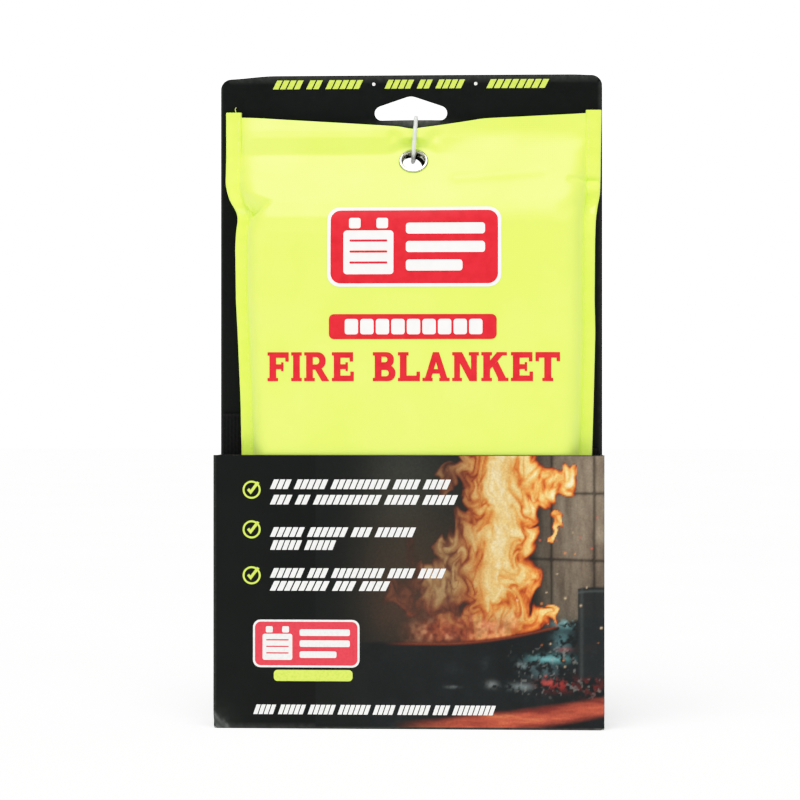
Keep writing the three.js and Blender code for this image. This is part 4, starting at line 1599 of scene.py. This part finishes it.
# A sign, a bar of dashes and the title, across the front of the pouch
pouchPrint = {
    "sign": (-35.0, 40.0, 190.5, 225.0),
    "bar": (-34.3, 38.0, 167.9, 178.7),
    "dash": 5.7,
    "dashPitch": 6.7,
    "dashMargins": (6.9, 2.1),
    "title": "FIRE BLANKET",  # what the thing is, in plain letters
    "titleBox": (-60.9, 65.2, 149.8, 162.3),
    "proud": 0.2,
}


def makePouchPrints():
    white, red, proud = finish["whiteInk"], finish["redInk"], pouchPrint["proud"]
    makeSign("pouch", pouchPrint["sign"], (white, red), onPouch, pouchFrontY, proud)
    lowX, highX, lowZ, highZ = pouchPrint["bar"]
    bar = roundedBox(lowX, highX, lowZ, highZ, 2.2)
    printOn("pouch_red_bar", [[bar]], red, onPouch, pouchFrontY, proud)
    dash, (sideRoom, room) = pouchPrint["dash"], pouchPrint["dashMargins"]
    dashes = [
        [roundedBox(x, x + dash, lowZ + room, highZ - room, 1.1)]
        for x in np.arange(lowX + sideRoom, highX - 10, pouchPrint["dashPitch"])
    ]
    printOn("pouch_bar_dashes", dashes, white, onPouch, pouchFrontY, proud + 0.04)
    title = setLine(pouchPrint["title"], *pouchPrint["titleBox"])
    printOn("pouch_title", title, red, onPouch, pouchFrontY, proud)


makePouchPrints()
print("pouch printed")


# Lines of words too small to read, shown as rows of blocks, and the marks beside them
boardPrint = {
    "slant": 0.2,
    "block": 0.78,  # a block's share of its pitch
    "wordGap": 0.75,  # pitches
    "lines": [  # low x, high x, low z, high z, how many blocks in each word
        (-59.1, 17.8, 103.0, 107.8, (3, 5, 9, 4, 4)),
        (-59.1, 20.8, 96.2, 101.3, (3, 2, 10, 5, 5)),
        (-59.1, 2.8, 82.4, 87.2, (5, 6, 3, 6)),
        (-59.1, -31.6, 76.8, 81.6, (5, 5)),
        (-59.1, 15.7, 64.8, 69.5, (5, 3, 8, 4, 4)),
        (-59.1, -8.4, 59.2, 64.0, (8, 3, 4)),
        (-66.4, 37.2, 6.0, 10.7, (4, 5, 5, 6, 4, 6, 3, 8)),
    ],
    "topLines": [
        (-60.5, -21.7, 279.0, 283.1, (4, 2, 5)),
        (-11.1, 23.3, 279.0, 283.1, (4, 2, 4)),
        (33.9, 60.3, 279.0, 283.1, (8,)),
    ],
    "dots": (-16.4, 28.6),
    "dotZ": 281.1,
    "tickX": -67.6,
    "ticks": (103.0, 85.9, 66.1),
    "sign": (-67.0, -21.0, 26.5, 47.0),
    "bar": (-58, -24, 20.6, 25.4),
}


# Words as rows of equal slanted blocks between two ends
def printWords(name, lines, faceY, ink, heightShare):
    points, reaches = [], []
    for lowX, highX, lowZ, highZ, words in lines:
        gap = boardPrint["wordGap"]
        pitch = (highX - lowX) / (sum(words) + gap * (len(words) - 1))
        at, z = lowX, (lowZ + highZ) / 2
        for word in words:
            for _ in range(word):
                x = at + pitch / 2
                points.append((x, float(faceY(np.array(x), np.array(z))) - 0.06, z))
                reaches.append(pitch * boardPrint["block"])
                at += pitch
            at += gap * pitch
    height = (lines[0][3] - lines[0][2]) * heightShare
    sizes = {"Length": 1.0, "Height": height, "Slant": boardPrint["slant"]}
    headings = [(0, 0, 0)] * len(points)
    finishPiece(repeatAt(name, blockTree, points, headings, reaches, ink, sizes), onCard)


def makeBoardPrints():
    white, green = finish["boardWhite"], finish["boardGreen"]
    printWords("front_panel_lines", boardPrint["lines"], frontPanelY, white, 0.86)
    printWords("back_panel_line", boardPrint["topLines"], boardFrontY, green, 0.95)
    dots = [[ring(x, boardPrint["dotZ"], 0.75, 16)] for x in boardPrint["dots"]]
    printOn("back_panel_dots", dots, white, onCard, boardFrontY, 0.06)
    rings, marks, x = [], [], boardPrint["tickX"]
    for z in boardPrint["ticks"]:
        rings.append([ring(x, z, 3.9, 28), ring(x, z, 3.1, 28)])
        steps = ((-2.0, -0.1), (-1.1, 0.7), (-0.5, -0.1), (2.3, 3.6), (3.4, 3.0), (-0.4, -2.0))
        marks.append([[(x + a, z + b) for a, b in steps]])
    printOn("front_panel_rings", rings, green, onCard, frontPanelY, 0.05)
    printOn("front_panel_ticks", marks, green, onCard, frontPanelY, 0.08)
    inks = (white, finish["boardRed"])
    makeSign("card", boardPrint["sign"], inks, onCard, frontPanelY, 0.08)
    bar = roundedBox(*boardPrint["bar"], 1.6)
    printOn("front_panel_green_bar", [[bar]], green, onCard, frontPanelY, 0.08)


makeBoardPrints()
print("board printed")


# The picture of a pan fire on the front panel
picture = {
    "lowX": -40.0, "highX": 84.1, "lowZ": 1.0, "highZ": 117.7, "step": 0.5, "seed": 40,
    "lobes": [  # x, z to x, z; radius at each end; heat
        (38, 42, 41, 122, 13, 13, 1.0),
        (44, 122, 52, 104, 12, 9, 0.95),
        (54, 106, 68, 107, 9.5, 6.5, 0.95),
        (64, 111, 73, 111, 3.5, 1.6, 0.8),
        (62, 95, 58, 81, 2.2, 1.2, 0.8),
        (44, 92, 50, 64, 9, 7, 0.85),
        (32, 86, 17, 79, 12, 7, 0.74),
        (30, 67, 12, 62, 15, 10, 0.66),
        (14, 60, -2, 56, 12, 9, 0.36),
        (8, 43, 22, 46, 5, 7, 0.26),
        (16, 45, 56, 47, 6.5, 6.5, 0.74),
        (52, 52, 60, 47, 6.5, 3.5, 0.85),
        (19, 112, 16, 98, 4.5, 2.6, 0.6),
        (26, 120, 27, 100, 6, 4, 0.75),
        (0, 78, 3, 70, 3, 3, 0.3),
        (61, 53, 63, 46, 1.3, 0.9, 0.95),
    ],
    "core": (41, 119, 37, 56, 6.0, 4.5),
    "sparks": 30,
    "glints": [  # cold glints and red embers on the hob: x, z, half width, half height, ink, amount
        (69, 45.6, 4.5, 1.1, "#7FB6B8", 0.8), (66, 38, 3.0, 3.4, "#4F7377", 0.7),
        (60.5, 30.6, 6.0, 1.1, "#6DACAD", 0.85), (58, 25.5, 5.0, 2.2, "#4C6468", 0.7),
        (49.5, 27.6, 2.4, 1.0, "#788A8B", 0.6), (64, 19.6, 5.2, 1.6, "#962E2A", 0.9),
        (60, 20.5, 2.4, 0.7, "#BC4F48", 0.7), (79, 19.5, 4.5, 3.2, "#702824", 0.6),
        (78, 35, 3.0, 1.2, "#7A3A35", 0.6), (48.5, 18.6, 4.0, 1.0, "#7E8A8A", 0.6),
        (36, 19.5, 1.8, 1.0, "#8F9695", 0.5), (19, 18.4, 2.2, 0.4, "#6C7372", 0.5),
        (67, 34.6, 2.0, 0.7, "#8E3A38", 0.7),
    ],
}


pictureTones = {
    "dark": [(0, "#0D110F"), (0.6, "#151917"), (1, "#1D1E1A")],
    "tiles": [(0, "#42392F"), (0.5, "#776858"), (1, "#AA9B85")],
    "hob": [(0, "#0A0E0F"), (0.7, "#15191A"), (1, "#272C2D")],
    "fire": [
        (0.0, "#260F0A"), (0.18, "#5E2011"), (0.34, "#A6411C"), (0.5, "#CD6A2B"),
        (0.66, "#DB8E42"), (0.82, "#E2AC5F"), (1.0, "#E9C681"), (1.2, "#F5E0B6"),
    ],
    "smoke": [
        (0.0, "#1E1A16"), (0.2, "#4A352B"), (0.4, "#74513E"), (0.6, "#A47F58"),
        (0.8, "#C9A978"), (1.2, "#EAD7AA"),
    ],
    "fat": [(0, "#58261B"), (0.5, "#984B33"), (1, "#DA9268")],
    "worktop": [(0, "#7C2E26"), (0.5, "#B6523B"), (1, "#DE8854")],
    "sparks": ("#FF9A52", "#F6D9B0", "#E0574A"),
}


# 1 in the middle, fading out over a width, or over a width and a height
def bell(x, width, z=0.0, height=1.0):
    return np.exp(-((x / width) ** 2) - (z / height) ** 2)


# How far a spot lies from a run with two round ends, in radii
def capsule(x, z, x0, z0, x1, z1, r0, r1):
    run = (x1 - x0) ** 2 + (z1 - z0) ** 2
    share = np.clip(((x - x0) * (x1 - x0) + (z - z0) * (z1 - z0)) / run, 0, 1)
    gap = np.hypot(x - x0 - share * (x1 - x0), z - z0 - share * (z1 - z0))
    return gap / (r0 + (r1 - r0) * share)


def mixInk(colours, hexColour, amount):
    amount = np.clip(amount, 0, 1)[..., None]
    return colours * (1 - amount) + np.array(toLinear(hexColour)[:3]) * amount


def rampInk(heat, stops):
    at = [s for s, _ in stops]
    tones = np.array([toLinear(h)[:3] for _, h in stops])
    return np.stack([np.interp(heat, at, tones[:, k]) for k in range(3)], axis=-1)


# A ramp shared out by noise; gain says how much of the ramp it covers
def noiseInk(noise, gain, tones):
    return rampInk(np.clip(0.5 + gain * noise, 0, 1), pictureTones[tones])


def panRimZ(x):
    return 37.4 + 7.6 * np.clip((x - 14) / 50, 0, 1.2) ** 1.8


# Wall tiles behind, streaked with grease, with dark joints, and haze over them on the left
def paintWall(inks, x, z, rough):
    wall = ease(x + 5 * rough, 50, 66) * ease(z, 34, 52)
    streak = layeredLumps(x * 2.2, z * 0.6, 14, picture["seed"] + 9, 5)
    joint = bell(x - 61.5, 0.7) + bell(x - 79.8, 0.7)
    joint = joint + bell(z - 73.4 + 0.03 * (x - 60), 0.7) + bell(z - 101.6, 0.7)
    tiles = noiseInk(streak, 0.6, "tiles") * (1 - 0.72 * np.clip(joint, 0, 1))[..., None]
    shade = (0.5 + 0.5 * ease(z, 45, 80)) * (0.72 + 0.28 * ease(x, 62, 80))
    inks = lerp(inks, tiles * shade[..., None], (0.92 * wall)[..., None])
    inks = mixInk(inks, "#4A3B2C", 0.45 * bell(x - 2, 26, z - 66, 34))
    return mixInk(inks, "#3E4038", 0.4 * bell(x + 2, 16, z - 108, 22))


# The hob is dark, with glints, embers and chips of light, and a pot stands at its right end
def paintHob(inks, x, z):
    seed, rim = picture["seed"], panRimZ(x)
    hob = 1 - ease(z, rim - 1, rim + 1)
    dark = noiseInk(layeredLumps(x, z, 12, seed + 3, 5), 0.5, "hob")
    inks = lerp(inks, dark, (0.95 * hob * ease(x, -38, -12))[..., None])
    broken = ease(layeredLumps(x + z * 0.4, z - x * 0.3, 2.4, seed + 17, 3), -0.28, 0.16)
    for gx, gz, sx, sz, tone, amount in picture["glints"]:
        wide = bell(x - gx, 1.25 * sx, z - gz, 1.5 * sz)
        inks = mixInk(inks, tone, 0.95 * amount * broken * wide)
    potTop = 59.9 + 1.3 * np.sqrt(np.clip(1 - ((x - 82) / 10) ** 2, 0, 1))
    pot = ease(x, 72.4, 73.2) * (1 - ease(z, potTop, potTop + 0.7)) * ease(z, 21, 24)
    chips = ease(layeredLumps(x, z, 1.5, seed + 81, 2), 0.34, 0.6) * ease(x, 40, 52)
    chips = chips * (1 - ease(z, 33, 40)) * ease(z, 12, 17)
    inks = mixInk(inks, "#8C8F8A", 0.34 * chips)
    inks = mixInk(inks, "#1B1F20", 0.95 * pot)
    inks = mixInk(inks, "#3F4443", 0.5 * pot * bell(x - 74.4, 0.8))
    return mixInk(inks, "#4E5452", 0.5 * pot * bell(z - potTop + 1.4, 0.5))


# How hot each spot is: flames drawn out into tongues by noise that swirls and rises
def flameHeat(x, z):
    seed, wx, wz = picture["seed"], x, z
    for size, push, number in ((17, 5.0, 21), (8, 2.6, 24), (3.8, 1.2, 27)):
        drift = lambda a, b: layeredLumps(a, b * 0.75, size, seed + number, 2)
        wx, wz = (
            wx + push * (drift(wx, wz + 1.2) - drift(wx, wz - 1.2)) * size / 2.6 * 0.55,
            wz - push * (drift(wx + 1.2, wz) - drift(wx - 1.2, wz)) * size / 2.6 * 0.75,
        )
    cold = np.ones_like(x)
    for *run, heat in picture["lobes"]:
        cold = cold * (1 - heat * (1 - ease(capsule(wx, wz, *run), 0.62, 1.12)))
    heat = 1 - cold
    vein = 1 - np.abs(layeredLumps(wx * 1.25, wz * 0.62, 10, seed + 31, 3)) * 3.4
    fine = 1 - np.abs(layeredLumps(wx * 1.4, wz * 0.7, 4.2, seed + 37, 2)) * 2.6
    core = 1 - ease(capsule(wx, wz, *picture["core"]), 0.3, 1.5)
    gaps = 0.38 * np.clip(vein, 0, 1) + 0.30 * np.clip(fine, 0, 1)
    heat = heat - gaps * (1 - 0.65 * core) * heat
    right = ease(x, 47, 59)
    heat = heat + (0.15 * core + 0.10 * right * ease(z, 60, 90) + 0.10 * right) * heat
    broken = 0.5 + 0.5 * layeredLumps(x, z, 3, seed + 41, 3)
    heat = heat * (1 - 0.25 * bell(z - 44, 9) * broken)
    return np.clip(heat, 0, 1.25) * ease(z, panRimZ(x) - 0.6, panRimZ(x) + 1.2)


# Flames, paler and smokier on the left
def paintFlames(inks, x, z):
    heat = flameHeat(x, z)
    fire = rampInk(heat, pictureTones["fire"]) * (0.82 + 0.20 * ease(x, 44, 56))[..., None]
    smoke = rampInk(heat, pictureTones["smoke"]) * 0.52
    smoky = np.clip(ease(-x, -38, -16) * 0.9 * (1 - 0.3 * bell(z - 44, 9)), 0, 1)
    return lerp(inks, lerp(fire, smoke, smoky[..., None]), ease(heat, 0.04, 0.30)[..., None])


# Red mist over the left of the pan, the fat boiling along its foot, and its lip lit from above
def paintPan(inks, x, z):
    seed, rim = picture["seed"], panRimZ(x)
    mist = bell(x - 6, 19, z - 52, 13) * (0.6 + 0.4 * layeredLumps(x, z, 9, seed + 70, 4))
    inks = mixInk(inks, "#614034", 0.42 * mist * ease(z, rim - 0.6, rim + 1.2))
    boil = bell(z - rim - 4.5, 5.5) * ease(x, -6, 16) * (1 - ease(x, 40, 54))
    boil = boil * ease(z, rim - 0.6, rim + 0.8)
    fat = noiseInk(layeredLumps(x, z, 2.6, seed + 71, 2), 0.75, "fat")
    inks = lerp(inks, fat, (0.72 * boil)[..., None])
    lip = bell(z - rim + 0.5, 0.55) * ease(x, -12, 6) * (1 - ease(x, 62, 66))
    return mixInk(inks, "#8A3A20", 0.6 * lip)


# Warm reflection along the worktop's front edge
def paintWorktop(inks, x, z):
    seed = picture["seed"]
    top = 3.2 + 11.0 * np.clip((x + 6) / 90, 0, 1) ** 1.25
    top = top + 0.8 * layeredLumps(x, z, 16, seed + 50, 3)
    foot = -2.0 + 8.5 * np.clip(x / 84, 0, 1) ** 2.2
    glow = ease(z, foot - 1.5, foot + 2.0) * (1 - ease(z, top - 2.4, top + 1.0))
    glow = glow * ease(x, -8, 28)
    warm = noiseInk(layeredLumps(x * 0.22 - z * 0.1, z * 1.3, 5, seed + 55, 4), 0.85, "worktop")
    return lerp(inks, warm, (0.92 * glow)[..., None])


def paintSparks(inks, x, z):
    rng = np.random.default_rng(picture["seed"] + 60)
    for _ in range(picture["sparks"]):
        sx, sz = rng.uniform(44, 83), rng.uniform(16, 92)
        size = rng.uniform(0.22, 0.45)
        tone = pictureTones["sparks"][int(rng.integers(3))]
        share = rng.uniform(0.3, 0.9)
        inks = mixInk(inks, tone, share * np.exp(-(((x - sx) ** 2 + (z - sz) ** 2) / size**2)))
    return inks


def pictureInks(x, z):
    rough = layeredLumps(x, z, 30, picture["seed"], 5)
    inks = paintWall(noiseInk(rough, 0.5, "dark"), x, z, rough)
    for paint in (paintHob, paintFlames, paintPan, paintWorktop, paintSparks):
        inks = paint(inks, x, z)
    # fades into the panel's black on the left
    panel = np.array(toLinear("#0B0F0D")[:3])
    return lerp(panel, inks, ease(x, picture["lowX"], picture["lowX"] + 30)[..., None])


def makePicture():
    columns, rows = [
        np.linspace(low, high, int((high - low) / picture["step"]) + 1)
        for low, high in ((picture["lowX"], picture["highX"]), (picture["lowZ"], picture["highZ"]))
    ]
    x, z = np.meshgrid(columns, rows)
    x = nippedX(x, z)
    points = np.stack([x, frontPanelY(x, z) - 0.03, z], axis=2).reshape(-1, 3)
    faces = gridFaces(len(columns), len(rows))
    sheet = newPiece("front_panel_picture", points, faces, finish["picture"])
    inks = np.concatenate([pictureInks(x, z).reshape(-1, 3), np.ones((x.size, 1))], axis=1)
    layer = sheet.data.color_attributes.new("inks", "FLOAT_COLOR", "POINT")
    layer.data.foreach_set("color", np.clip(inks, 0, 1).ravel())
    finishPiece(sheet, onCard)


makePicture()
print("picture printed")
